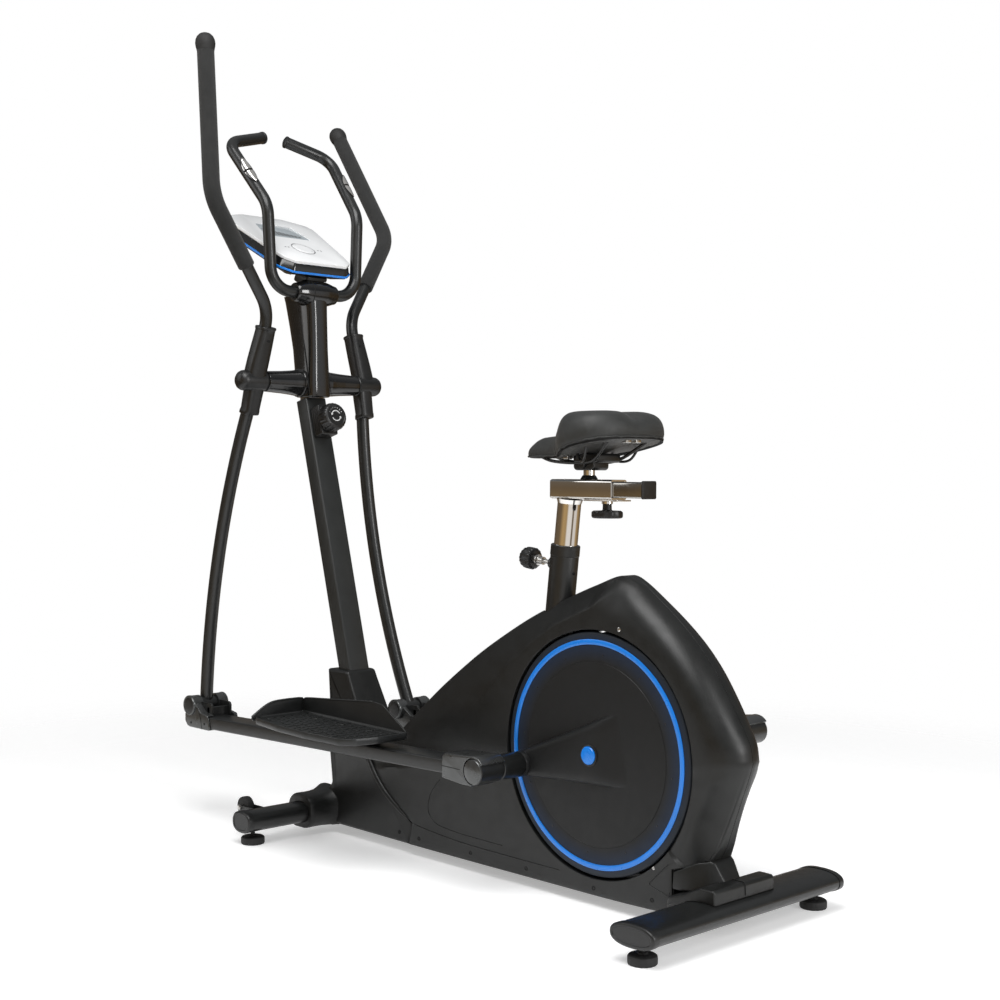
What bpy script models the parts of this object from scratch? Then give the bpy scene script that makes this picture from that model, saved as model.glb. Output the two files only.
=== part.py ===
"""Elliptical trainer with a bicycle seat: one named object for each part, in metres.

+X is the rider's left, +Y is the rear and +Z is up.  The machine stands on z = 0.  Every
size below is measured with the crank axis at y = 0; the whole machine is then moved by
CRANK_Y, so that the origin is at the middle of its footprint.
"""
import math

import bmesh
import bpy
from mathutils import Matrix, Vector

# ---- overall places --------------------------------------------------------------------
CRANK_Y = 0.480            # crank axis behind the middle of the footprint
GAP = 0.0004               # gap between two pieces that touch

# ---- linkage ---------------------------------------------------------------------------
CRANK_Z = 0.291            # crank axis above the floor
CRANK_RADIUS = 0.180       # crank axis to crank pin
CRANK_ANGLE = 12.6         # left crank pin, degrees below straight forward
PIVOT_Y = -0.975           # arm pivot, which the mast carries
PIVOT_Z = 1.029
ARM_LENGTH = 0.784         # arm pivot to lower pivot
RAIL_LENGTH = 0.983        # lower pivot to crank pin
ARM_X = 0.167              # middle of the lower pivot
ARM_TOP_X = 0.155          # middle of the arm at its pivot

# ---- base ------------------------------------------------------------------------------
REAR_Y, REAR_Z = 0.285, 0.052
REAR_LENGTH, REAR_DEPTH, REAR_HEIGHT = 0.554, 0.098, 0.040
FRONT_Y, FRONT_Z = -0.850, 0.051
FRONT_LENGTH, FRONT_DEPTH, FRONT_HEIGHT = 0.560, 0.064, 0.046
END_CAP = 0.016            # length of a stabiliser end cap
FOOT_X = 0.247
FOOT_RADIUS, FOOT_HEIGHT = 0.026, 0.017
WHEEL_X, WHEEL_Y, WHEEL_Z = 0.226, -0.908, 0.070
WHEEL_RADIUS, WHEEL_WIDTH = 0.022, 0.019
BEAM_WIDTH, BEAM_HEIGHT, BEAM_Z = 0.040, 0.040, 0.055
TUBE_WALL = 0.0025

# ---- mast ------------------------------------------------------------------------------
MAST_WIDTH, MAST_DEPTH = 0.060, 0.040
MAST_LEAN = 15.1           # degrees forward of upright
MAST_TOP_Y, MAST_TOP_Z = -0.973, 0.990
POST_SIZE = 0.036          # post inside the neck cover
AXLE_TUBE_RADIUS, AXLE_TUBE_HALF = 0.022, 0.048
AXLE_RADIUS = 0.0085
ARM_SLEEVE_RADIUS = 0.020
BARREL_RADIUS = 0.0238
BARREL_IN, BARREL_OUT = 0.133, 0.207

# ---- handlebar and console -------------------------------------------------------------
BAR_RADIUS = 0.0138
BAR_Y, BAR_Z = -0.962, 1.240
CLAMP_RADIUS, CLAMP_HALF = 0.030, 0.058
CONSOLE_TILT = 29.0        # degrees from level
CONSOLE_Y, CONSOLE_Z = -0.930, 1.308
FACE_THICK, CONSOLE_THICK = 0.008, 0.026
BUTTON_RADIUS, BUTTON_V = 0.0285, 0.086

# ---- arms ------------------------------------------------------------------------------
ARM_RADIUS = 0.0150
HANDLE_RADIUS = 0.0140
GRIP_RADIUS = 0.0190
ARM_BOW = 0.042            # how far the lower tube bows forward

# ---- rails and pedals ------------------------------------------------------------------
RAIL_IN, RAIL_OUT = 0.150, 0.210
RAIL_HEIGHT = 0.028
RAIL_SLEEVE_RADIUS = 0.0255
RAIL_DROP = 0.034          # rail's front end below the lower pivot
FORK_IN, FORK_OUT = 0.119, 0.217
FORK_BARREL_RADIUS = 0.0225
PEDAL_LENGTH = 0.360
PEDAL_FRONT = 0.360        # from the lower pivot back to the pedal's front edge
PEDAL_FLOOR = 0.026        # pedal floor above the line from lower pivot to crank pin

# ---- housing and drive -----------------------------------------------------------------
DISC_RADIUS, DISC_CLEARANCE = 0.232, 0.0045
SIDE_X = 0.060             # outer face of the housing beside the disc
WALL = 0.003
PULLEY_RADIUS, PULLEY_IN, PULLEY_OUT = 0.115, 0.0305, 0.0425
SMALL_PULLEY_RADIUS = 0.018
FLYWHEEL_Y, FLYWHEEL_Z, FLYWHEEL_RADIUS, FLYWHEEL_WIDTH = -0.400, 0.205, 0.108, 0.024
BOSS_RADIUS, BOSS_OUT = 0.0250, 0.1494

# ---- seat ------------------------------------------------------------------------------
SEAT_LEAN = 6.5            # degrees back from upright
SEAT_TOP_Y, SEAT_TOP_Z = -0.137, 0.680
SEAT_TUBE_RADIUS, SEAT_POST_RADIUS = 0.0285, 0.0235
PIN_ALONG = -0.040         # the height knob's pin, along the tube from its top
HOLE_STEP, HOLE_DEPTH = 0.020, 0.004
CARRIAGE_FRONT, CARRIAGE_REAR = -0.163, 0.003
CARRIAGE_BOTTOM, CARRIAGE_HEIGHT, CARRIAGE_WIDTH = 0.773, 0.0355, 0.045
CARRIAGE_WALL = 0.0035
BAR_END = 0.080
STEM_Y = -0.075
SADDLE_BOTTOM = 0.846

PARTS = None
CUTTERS = None
STEPS = 18


# ---- helpers ---------------------------------------------------------------------------
def clear_scene():
    for obj in list(bpy.data.objects):
        bpy.data.objects.remove(obj, do_unlink=True)


def make_collections():
    global PARTS, CUTTERS
    PARTS = bpy.data.collections.new("elliptical_trainer")
    CUTTERS = bpy.data.collections.new("cutters")
    bpy.context.scene.collection.children.link(PARTS)
    bpy.context.scene.collection.children.link(CUTTERS)


def material(name, colour, roughness, metallic=0.0):
    mat = bpy.data.materials.get(name)
    if mat:
        return mat
    mat = bpy.data.materials.new(name)
    mat.use_nodes = True
    shader = mat.node_tree.nodes["Principled BSDF"]
    shader.inputs["Base Color"].default_value = (*colour, 1.0)
    shader.inputs["Roughness"].default_value = roughness
    shader.inputs["Metallic"].default_value = metallic
    return mat


def black_steel():
    return material("black_steel", (0.018, 0.019, 0.020), 0.42, 0.3)


def black_plastic():
    return material("black_plastic", (0.016, 0.016, 0.017), 0.52)


def gloss_plastic():
    return material("gloss_plastic", (0.010, 0.010, 0.011), 0.18)


def silver_plastic():
    return material("silver_plastic", (0.085, 0.088, 0.090), 0.35, 0.6)


def chrome():
    return material("chrome", (0.75, 0.75, 0.76), 0.08, 1.0)


def bare_steel():
    return material("bare_steel", (0.35, 0.35, 0.36), 0.35, 1.0)


def rubber():
    return material("rubber", (0.014, 0.014, 0.014), 0.85)


def foam():
    return material("foam", (0.022, 0.023, 0.024), 0.90)


def vinyl():
    return material("vinyl", (0.025, 0.026, 0.028), 0.55)


def white_plastic():
    return material("white_plastic", (0.78, 0.80, 0.82), 0.25)


def place(obj, parent=None):
    """Put a finished object in the parts collection, under its joint's empty."""
    PARTS.objects.link(obj)
    obj.parent = parent
    return obj


def from_bmesh(name, bm, mat):
    mesh = bpy.data.meshes.new(name)
    bm.to_mesh(mesh)
    bm.free()
    mesh.materials.append(mat)
    mesh.shade_smooth()
    mesh.set_sharp_from_angle(angle=math.radians(35))
    return bpy.data.objects.new(name, mesh)


def box(name, low, high, mat, bevel=0.0, turn=None, about=(0, 0, 0)):
    """A box from its low corner to its high corner, turned by degrees about X."""
    low, high = Vector(low), Vector(high)
    bm = bmesh.new()
    bmesh.ops.create_cube(bm, size=1.0)
    bmesh.ops.scale(bm, vec=high - low, verts=bm.verts)
    bmesh.ops.translate(bm, vec=(low + high) / 2, verts=bm.verts)
    if turn:
        spin = Matrix.Rotation(math.radians(turn), 3, "X")
        bmesh.ops.rotate(bm, cent=about, matrix=spin, verts=bm.verts)
    obj = from_bmesh(name, bm, mat)
    add_bevel(obj, bevel)
    return obj


def rod(name, start, end, radius, mat, end_radius=None, sides=STEPS, bevel=0.0):
    """A cylinder or cone between two points."""
    start, end = Vector(start), Vector(end)
    bm = bmesh.new()
    far = radius if end_radius is None else end_radius
    bmesh.ops.create_cone(bm, cap_ends=True, segments=sides, radius1=radius, radius2=far,
                          depth=(end - start).length)
    spin = (end - start).to_track_quat("Z", "Y").to_matrix().to_4x4()
    bmesh.ops.transform(bm, matrix=Matrix.Translation((start + end) / 2) @ spin, verts=bm.verts)
    obj = from_bmesh(name, bm, mat)
    add_bevel(obj, bevel)
    return obj


def add_bevel(obj, width, segments=1):
    if width:
        mod = obj.modifiers.new("rounded edges", "BEVEL")
        mod.width = width
        mod.segments = segments
        mod.limit_method = "ANGLE"
        mod.angle_limit = math.radians(40)


def turned(name, profile, at, axis, mat, steps=STEPS):
    """A closed ring or a solid of revolution.  profile is a list of (radius, along)."""
    bm = bmesh.new()
    verts = [bm.verts.new((r, 0.0, along)) for r, along in profile]
    for first, second in zip(verts, verts[1:]):
        bm.edges.new((first, second))
    if profile[0][0] > 0.0:
        bm.edges.new((verts[-1], verts[0]))
    obj = from_bmesh(name, bm, mat)
    mod = obj.modifiers.new("turn", "SCREW")
    mod.steps = mod.render_steps = steps
    mod.use_merge_vertices = True
    mod.merge_threshold = 0.00005
    mod.use_smooth_shade = True
    solid = as_mesh(obj)
    spin = Vector(axis).to_track_quat("Z", "Y").to_matrix().to_4x4()
    solid.data.transform(Matrix.Translation(at) @ spin)
    solid.data.set_sharp_from_angle(angle=math.radians(35))
    return solid


def as_mesh(obj):
    """The evaluated object as a plain mesh object with its loose caps welded."""
    scene = bpy.context.scene.collection
    scene.objects.link(obj)
    bpy.context.view_layer.update()
    evaluated = obj.evaluated_get(bpy.context.evaluated_depsgraph_get())
    mesh = bpy.data.meshes.new_from_object(evaluated)
    bm = bmesh.new()
    bm.from_mesh(mesh)
    bmesh.ops.remove_doubles(bm, verts=bm.verts, dist=0.00002)
    bmesh.ops.recalc_face_normals(bm, faces=bm.faces)
    bm.to_mesh(mesh)
    bm.free()
    solid = bpy.data.objects.new(obj.name, mesh)
    solid.matrix_world = obj.matrix_world
    name = obj.name
    bpy.data.objects.remove(obj, do_unlink=True)
    solid.name = name
    return solid


PLANES = {
    "YZ": Matrix(((0, 0, 1), (1, 0, 0), (0, 1, 0))),     # extruded along X
    "XZ": Matrix(((1, 0, 0), (0, 0, -1), (0, 1, 0))),    # extruded along Y
    "XY": Matrix.Identity(3),                            # extruded along Z
}


def plate(name, outline, start, end, plane, mat, bevel=0.0, hole=None):
    """A flat outline in the named plane, extruded from start to end across it."""
    curve = bpy.data.curves.new(name, "CURVE")
    curve.dimensions = "2D"
    curve.fill_mode = "BOTH"
    curve.extrude = abs(end - start) / 2
    for ring in (outline, hole):
        if ring:
            spline = curve.splines.new("POLY")
            spline.points.add(len(ring) - 1)
            for point, place_2d in zip(spline.points, ring):
                point.co = (place_2d[0], place_2d[1], 0.0, 1.0)
            spline.use_cyclic_u = True
    curve.materials.append(mat)
    solid = as_mesh(bpy.data.objects.new(name, curve))
    middle = (start + end) / 2
    frame = PLANES[plane].to_4x4()
    offset = PLANES[plane] @ Vector((0, 0, 1)) * middle
    if plane == "XZ":
        offset = Vector((0, middle, 0))
    solid.data.transform(Matrix.Translation(offset) @ frame)
    solid.data.shade_smooth()
    solid.data.set_sharp_from_angle(angle=math.radians(35))
    add_bevel(solid, bevel)
    return solid


def rounded(points, radius, steps=4, closed=False):
    """Round each corner of a path with an arc; radius is one value or one a corner."""
    points = [Vector(p) for p in points]
    count = len(points)
    radii = radius if isinstance(radius, (list, tuple)) else [radius] * count
    result = []
    for i, corner in enumerate(points):
        if not closed and i in (0, count - 1) or radii[i] == 0:
            result.append(corner)
            continue
        back = points[i - 1] - corner
        ahead = points[(i + 1) % count] - corner
        half = back.angle(ahead) / 2
        reach = min(radii[i] / math.tan(half), 0.49 * back.length, 0.49 * ahead.length)
        first = corner + back.normalized() * reach
        last = corner + ahead.normalized() * reach
        turn = math.pi - 2 * half
        size = reach * math.tan(half)
        centre = corner + (back.normalized() + ahead.normalized()).normalized() * (
            size / math.sin(half))
        for k in range(steps + 1):
            share = k / steps
            a, b = first - centre, last - centre
            spread = math.sin(turn)
            if spread < 1e-6:
                result.append(first.lerp(last, share))
            else:
                result.append(centre + (a * math.sin((1 - share) * turn)
                                        + b * math.sin(share * turn)) / spread)
    return result


def tube(name, points, radius, mat, sides=12, solid=False):
    """A round bar along points; as a mesh when it is to be cut or joined."""
    curve = bpy.data.curves.new(name, "CURVE")
    curve.dimensions = "3D"
    curve.fill_mode = "FULL"
    curve.bevel_depth = radius
    curve.bevel_resolution = (sides - 4) // 2
    curve.use_fill_caps = True
    spline = curve.splines.new("POLY")
    spline.points.add(len(points) - 1)
    for point, position in zip(spline.points, points):
        point.co = (*position, 1.0)
    spline.use_smooth = True
    curve.materials.append(mat)
    obj = bpy.data.objects.new(name, curve)
    return as_mesh(obj) if solid else obj


def boolean(obj, others, operation, parent=None):
    for other in others:
        if not other.users_collection:
            CUTTERS.objects.link(other)
            other.parent = parent
            other.hide_render = True
            other.display_type = "WIRE"
        mod = obj.modifiers.new(other.name, "BOOLEAN")
        mod.operation = operation
        mod.solver = "EXACT"
        mod.object = other
    return obj


def join(obj, *others, parent=None):
    return boolean(obj, others, "UNION", parent)


def cut(obj, *others, parent=None):
    return boolean(obj, others, "DIFFERENCE", parent)


def joint_axis(name, at, turn=0.0):
    """An empty on a joint's axis, turned by degrees about X."""
    empty = bpy.data.objects.new(name, None)
    empty.empty_display_size = 0.05
    empty.location = at
    empty.rotation_euler = (math.radians(turn), 0, 0)
    PARTS.objects.link(empty)
    return empty


def oval(depth, height, power=2.4, count=20, centre=(0, 0)):
    """A flattened circle, as points."""
    points = []
    for k in range(count):
        angle = 2 * math.pi * k / count
        c, s = math.cos(angle), math.sin(angle)
        y = math.copysign(abs(c) ** (2 / power), c) * depth / 2
        z = math.copysign(abs(s) ** (2 / power), s) * height / 2
        points.append((centre[0] + y, centre[1] + z))
    return points


def circle(radius, centre, count=STEPS, start=0.0, sweep=360.0):
    points = []
    closed = sweep == 360.0
    for k in range(count if closed else count + 1):
        angle = math.radians(start + sweep * k / count)
        points.append((centre[0] + radius * math.cos(angle), centre[1] + radius * math.sin(angle)))
    return points


SIDES = (("left", 1), ("right", -1))


# ---- linkage geometry ------------------------------------------------------------------
def crank_pin(side):
    angle = math.radians(CRANK_ANGLE)
    return (-side * CRANK_RADIUS * math.cos(angle), CRANK_Z - side * CRANK_RADIUS * math.sin(angle))


def arm_angle(side):
    """Degrees about X that swing an arm from hanging straight down to its crank pin."""
    pin_y, pin_z = crank_pin(side)
    dy, dz = pin_y - PIVOT_Y, pin_z - PIVOT_Z
    reach = math.hypot(dy, dz)
    share = (reach ** 2 + ARM_LENGTH ** 2 - RAIL_LENGTH ** 2) / (2 * reach * ARM_LENGTH)
    return math.degrees(math.atan2(dy, -dz) - math.acos(share))


def lower_pivot(side):
    angle = math.radians(arm_angle(side))
    return (PIVOT_Y + ARM_LENGTH * math.sin(angle), PIVOT_Z - ARM_LENGTH * math.cos(angle))


def rail_angle(side):
    pin_y, pin_z = crank_pin(side)
    low_y, low_z = lower_pivot(side)
    return math.degrees(math.atan2(pin_z - low_z, pin_y - low_y))


# ---- base ------------------------------------------------------------------------------
def seat_point(along, out=0.0):
    """A point on the seat tube's axis, along it from its top, and out towards the front."""
    lean = math.radians(SEAT_LEAN)
    return Vector((0, SEAT_TOP_Y + along * math.sin(lean) - out * math.cos(lean),
                   SEAT_TOP_Z + along * math.cos(lean) + out * math.sin(lean)))


def make_base_frame():
    steel = black_steel()
    half = BEAM_WIDTH / 2
    rear = REAR_Y - REAR_DEPTH / 2 - GAP
    front = FRONT_Y + FRONT_DEPTH / 2 + GAP
    top = BEAM_Z + BEAM_HEIGHT / 2
    frame = box("base_frame", (-half, front, BEAM_Z - BEAM_HEIGHT / 2), (half, rear, top), steel)
    seat_bottom = seat_point(-(SEAT_TOP_Z - top + 0.01) / math.cos(math.radians(SEAT_LEAN)))
    seat_tube = rod("seat_tube_outer", seat_bottom, seat_point(0), SEAT_TUBE_RADIUS, steel, sides=32)
    strut = box("crank_strut", (-0.0175, -0.190, CRANK_Z - 0.021), (0.0175, 0.0, CRANK_Z + 0.021),
                steel)
    shell = rod("crank_shell", (-0.040, 0, CRANK_Z), (0.027, 0, CRANK_Z), 0.024, steel)
    foot = box("mast_foot", (-0.028, mast_y(0.08) - 0.045, top - 0.004),
               (0.028, mast_y(0.08) + 0.045, top + 0.005), steel)
    lugs = [box("lug", (x - 0.002, FLYWHEEL_Y - 0.02, top - 0.005),
                (x + 0.002, FLYWHEEL_Y + 0.02, FLYWHEEL_Z + 0.018), steel)
            for x in (-0.0165, 0.0165)]
    join(frame, seat_tube, strut, shell, foot, *lugs)
    bore = rod("seat_bore", seat_point(-0.60), seat_point(0.02), SEAT_POST_RADIUS + 0.0005, steel,
               sides=32)
    hollow = box("beam_bore", (-half + TUBE_WALL, front - 0.01, BEAM_Z - BEAM_HEIGHT / 2 + TUBE_WALL),
                 (half - TUBE_WALL, rear + 0.01, top - TUBE_WALL), steel)
    crank_bore = rod("crank_bore", (-0.06, 0, CRANK_Z), (0.06, 0, CRANK_Z), 0.0102, steel)
    flywheel_bore = rod("flywheel_bore", (-0.06, FLYWHEEL_Y, FLYWHEEL_Z),
                        (0.06, FLYWHEEL_Y, FLYWHEEL_Z), 0.0066, steel)
    pin_bore = rod("pin_bore", seat_point(PIN_ALONG), seat_point(PIN_ALONG, 0.05), 0.0056, steel,
                   sides=12)
    cut(frame, bore, hollow, crank_bore, flywheel_bore, pin_bore)
    return place(frame)


def stabiliser(name, length, centre, depth, height):
    half = length / 2 - END_CAP
    wall = 2 * TUBE_WALL
    return plate(name, oval(depth, height, centre=centre), -half, half, "YZ", black_steel(),
                 hole=oval(depth - wall, height - wall, centre=centre))


def make_stabilisers():
    front = stabiliser("front_stabiliser_tube", FRONT_LENGTH, (FRONT_Y, FRONT_Z), FRONT_DEPTH,
                       FRONT_HEIGHT)
    steel = black_steel()
    for _, side in SIDES:
        for edge in (-1, 1):
            x = side * WHEEL_X + edge * (WHEEL_WIDTH / 2 + 0.0035)
            join(front, box("wheel_cheek", (x - 0.0015, WHEEL_Y - 0.008, WHEEL_Z - 0.010),
                            (x + 0.0015, FRONT_Y - 0.015, WHEEL_Z + 0.002), steel))
        reach = WHEEL_WIDTH / 2 + 0.008
        join(front, rod("wheel_bolt", (side * WHEEL_X - reach, WHEEL_Y, WHEEL_Z),
                        (side * WHEEL_X + reach, WHEEL_Y, WHEEL_Z), 0.0035, steel, sides=12))
    place(front)
    place(stabiliser("rear_stabiliser_tube", REAR_LENGTH, (REAR_Y, REAR_Z), REAR_DEPTH,
                     REAR_HEIGHT))


def make_end_caps():
    for end, length, centre, depth, height in (
            ("front", FRONT_LENGTH, (FRONT_Y, FRONT_Z), FRONT_DEPTH, FRONT_HEIGHT),
            ("rear", REAR_LENGTH, (REAR_Y, REAR_Z), REAR_DEPTH, REAR_HEIGHT)):
        for label, side in SIDES:
            inner = side * (length / 2 - END_CAP + GAP)
            outline = oval(depth + 0.002, height + 0.002, centre=centre)
            cap = plate(f"{end}_{label}_end_cap", outline, inner, side * length / 2, "YZ",
                        black_plastic(), bevel=0.004)
            place(cap)


def make_feet():
    for end, y, z, height in (("front", FRONT_Y, FRONT_Z, FRONT_HEIGHT),
                              ("rear", REAR_Y, REAR_Z, REAR_HEIGHT)):
        top = z - height / 2 - GAP
        for label, side in SIDES:
            profile = [(0, top), (0.005, top), (0.005, FOOT_HEIGHT),
                       (FOOT_RADIUS - 0.004, FOOT_HEIGHT), (FOOT_RADIUS - 0.001, FOOT_HEIGHT - 0.003),
                       (FOOT_RADIUS, 0.003), (FOOT_RADIUS - 0.002, 0), (0, 0)]
            place(turned(f"{end}_{label}_foot", profile, (side * FOOT_X, y, 0), (0, 0, 1), rubber()))


def make_wheels():
    half = WHEEL_WIDTH / 2
    profile = [(0.0042, half), (WHEEL_RADIUS - 0.003, half), (WHEEL_RADIUS, half - 0.003),
               (WHEEL_RADIUS, -half + 0.003), (WHEEL_RADIUS - 0.003, -half), (0.0042, -half)]
    for label, side in SIDES:
        place(turned(f"{label}_transport_wheel", profile, (side * WHEEL_X, WHEEL_Y, WHEEL_Z),
                     (1, 0, 0), rubber()))


# ---- mast ------------------------------------------------------------------------------
def mast_y(z):
    """The mast's middle line at height z."""
    return MAST_TOP_Y + (MAST_TOP_Z - z) * math.tan(math.radians(MAST_LEAN))


def make_mast():
    steel = black_steel()
    bottom = BEAM_Z + BEAM_HEIGHT / 2 + 0.0056
    length = (MAST_TOP_Z - bottom - MAST_DEPTH / 2 * math.sin(math.radians(MAST_LEAN))) / math.cos(
        math.radians(MAST_LEAN))
    mast = box("mast", (-MAST_WIDTH / 2, MAST_TOP_Y - MAST_DEPTH / 2, MAST_TOP_Z - length),
               (MAST_WIDTH / 2, MAST_TOP_Y + MAST_DEPTH / 2, MAST_TOP_Z), steel, turn=MAST_LEAN,
               about=(0, MAST_TOP_Y, MAST_TOP_Z))
    post = box("neck_post", (-POST_SIZE / 2, PIVOT_Y - POST_SIZE / 2, MAST_TOP_Z - 0.03),
               (POST_SIZE / 2, PIVOT_Y + POST_SIZE / 2, BAR_Z - CLAMP_RADIUS - GAP), steel)
    axle_tube = rod("axle_tube", (-AXLE_TUBE_HALF, PIVOT_Y, PIVOT_Z), (AXLE_TUBE_HALF, PIVOT_Y, PIVOT_Z),
                    AXLE_TUBE_RADIUS, steel)
    reach = BARREL_OUT - 0.010
    axle = rod("pivot_axle", (-reach, PIVOT_Y, PIVOT_Z), (reach, PIVOT_Y, PIVOT_Z), AXLE_RADIUS,
               steel, sides=20)
    join(mast, post, axle_tube, axle)
    hollow = box("mast_bore", (-MAST_WIDTH / 2 + TUBE_WALL, MAST_TOP_Y - MAST_DEPTH / 2 + TUBE_WALL,
                               MAST_TOP_Z - length - 0.01),
                 (MAST_WIDTH / 2 - TUBE_WALL, MAST_TOP_Y + MAST_DEPTH / 2 - TUBE_WALL,
                  MAST_TOP_Z - 0.050), steel, turn=MAST_LEAN, about=(0, MAST_TOP_Y, MAST_TOP_Z))
    return place(cut(mast, hollow))


def neck_outline(inset):
    return [(-1.057 + inset, 1.243 + 2 * inset), (-1.012 + inset, 1.065),
            (-1.004 + inset, 0.996 - 2 * inset), (-0.928 - inset, 0.996 - 2 * inset),
            (-0.938 - inset, 1.222 + 2 * inset)]


def make_neck_cover():
    plastic = gloss_plastic()
    cover = plate("neck_cover", neck_outline(0), -0.0315, 0.0315, "YZ", plastic, bevel=0.009)
    inner = plate("neck_inside", neck_outline(WALL), -0.0285, 0.0285, "YZ", plastic, bevel=0.007)
    hole = rod("neck_axle_hole", (-0.05, PIVOT_Y, PIVOT_Z), (0.05, PIVOT_Y, PIVOT_Z),
               AXLE_TUBE_RADIUS + 0.001, plastic)
    clamp = rod("neck_clamp_hollow", (-0.09, BAR_Y, BAR_Z), (0.09, BAR_Y, BAR_Z),
                CLAMP_RADIUS + 0.002, plastic, sides=32)
    cut(cover, inner, hole, clamp)
    return place(cover)


def make_axle_covers():
    """The cone on each side of the neck, over the axle tube."""
    inner, outer = 0.0325, BARREL_IN - 0.002
    bore, step = AXLE_TUBE_RADIUS + GAP, AXLE_TUBE_HALF + 0.001
    profile = [(AXLE_RADIUS + 0.001, outer), (BARREL_RADIUS, outer), (0.0305, inner + 0.012),
               (0.0305, inner), (bore, inner), (bore, step), (AXLE_RADIUS + 0.001, step)]
    for label, side in SIDES:
        place(turned(f"{label}_axle_cover", profile, (0, PIVOT_Y, PIVOT_Z), (side, 0, 0),
                     gloss_plastic()))


def make_tension_knob():
    """The load dial and the housing it turns on, square to the mast's rear face."""
    lean = math.radians(MAST_LEAN)
    z = 0.930
    out = Vector((0, math.cos(lean), math.sin(lean)))
    face = Vector((0, mast_y(z), z)) + out * (MAST_DEPTH / 2 + GAP)
    housing = box("tension_knob_housing", (-0.024, face.y, face.z - 0.036),
                  (0.024, face.y + 0.036, face.z + 0.036), black_plastic(), bevel=0.004,
                  turn=MAST_LEAN, about=face)
    place(housing)
    axis = joint_axis("tension_knob_axis", face + out * (0.036 + GAP))
    profile = [(0, 0.028), (0.026, 0.028), (0.031, 0.024), (0.033, 0.010), (0.033, 0.0015),
               (0.012, 0.0015), (0.012, 0), (0, 0)]
    place(turned("tension_knob", profile, (0, 0, 0), out, black_plastic(), steps=32), axis)


# ---- handlebar and console -------------------------------------------------------------
# half of the fixed handlebar: across, up the side, forward, and in to the tip
HANDLEBAR_CORNERS = [(0.0, BAR_Y, BAR_Z), (0.122, BAR_Y, BAR_Z), (0.131, BAR_Y - 0.004, BAR_Z + 0.195),
                     (0.150, -1.100, 1.592), (0.032, -1.125, 1.625)]


def handlebar_path():
    return rounded(HANDLEBAR_CORNERS, [0, 0.055, 0.070, 0.045, 0], steps=4)


def make_handlebar():
    half = handlebar_path()
    full = [Vector((-p.x, p.y, p.z)) for p in reversed(half)] + half[1:]
    place(tube("fixed_handlebar", full, BAR_RADIUS, black_steel(), sides=12))


def make_clamp():
    profile = [(BAR_RADIUS + 0.0006, CLAMP_HALF), (0.0215, CLAMP_HALF), (0.0265, CLAMP_HALF - 0.014),
               (CLAMP_RADIUS, 0.020), (CLAMP_RADIUS, -0.020), (0.0265, -CLAMP_HALF + 0.014),
               (0.0215, -CLAMP_HALF), (BAR_RADIUS + 0.0006, -CLAMP_HALF)]
    place(turned("handlebar_clamp", profile, (0, BAR_Y, BAR_Z), (1, 0, 0), gloss_plastic()))


def make_pulse_sensors():
    """A curved metal plate on the rear of each upright grip of the fixed handlebar."""
    low, high = Vector(HANDLEBAR_CORNERS[2]), Vector(HANDLEBAR_CORNERS[3])
    inner, outer = BAR_RADIUS + 0.0006, BAR_RADIUS + 0.0022
    arc = circle(outer, (0, 0), count=12, start=-95, sweep=190)
    arc += reversed(circle(inner, (0, 0), count=12, start=-95, sweep=190))
    for label, side in SIDES:
        start, end = low.lerp(high, 0.20), low.lerp(high, 0.76)
        along = Vector((side * (end.x - start.x), end.y - start.y, end.z - start.z))
        sensor = plate(f"{label}_pulse_sensor", arc, 0, along.length, "XY", chrome())
        along.normalize()
        rear = Vector((0, 1, 0)) - along * along.y
        rear.normalize()
        frame = Matrix((rear, along.cross(rear), along)).transposed().to_4x4()
        sensor.data.transform(Matrix.Translation((side * start.x, start.y, start.z)) @ frame)
        place(sensor)


def console_outline(grow=0.0):
    half = [(0.074, 0.0), (0.098, 0.022), (0.106, 0.060), (0.128, 0.235), (0.118, 0.258),
            (0.060, 0.284)]
    half = [(x + grow, v + grow * (1 if v > 0.14 else -1)) for x, v in half]
    points = half + [(-x, v) for x, v in reversed(half)]
    return rounded(points, [0.012, 0.02, 0.04, 0.012, 0.02, 0.02] + [0.02, 0.02, 0.012, 0.04, 0.02,
                   0.012], steps=2, closed=True)


def make_console():
    """The display unit.  It is made level, v running forward, and then tilted."""
    axis = joint_axis("console_tilt", (0, CONSOLE_Y, CONSOLE_Z), -CONSOLE_TILT)
    level = [(x, -v) for x, v in console_outline()]
    face = plate("console_face", level, -FACE_THICK, 0, "XY", white_plastic(), bevel=0.0015)
    hole = rod("button_hole", (0, -BUTTON_V, -0.02), (0, -BUTTON_V, 0.02), BUTTON_RADIUS + 0.0006,
               white_plastic(), sides=32)
    place(cut(face, hole, parent=axis), axis)
    wide = [(x, -v) for x, v in console_outline(0.006)]
    back = plate("console_back_shell", wide, -FACE_THICK - GAP - CONSOLE_THICK, -FACE_THICK - GAP,
                 "XY", black_plastic(), bevel=0.007)
    neck = box("console_neck", (-0.030, -0.052, -0.062), (0.030, 0.002, -FACE_THICK - 0.012),
               black_plastic())
    under = rod("console_neck_hollow", (-0.09, BAR_Y, BAR_Z), (0.09, BAR_Y, BAR_Z),
                CLAMP_RADIUS + 0.0012, black_plastic(), sides=32)
    join(back, neck, parent=axis)
    place(cut(back, under), axis)
    profile = [(0, 0.0015), (BUTTON_RADIUS - 0.002, 0.0015), (BUTTON_RADIUS, 0),
               (BUTTON_RADIUS, -FACE_THICK + 0.0022), (0, -FACE_THICK + 0.0022)]
    place(turned("console_button", profile, (0, -BUTTON_V, 0), (0, 0, 1), white_plastic(),
                 steps=32), axis)


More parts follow.
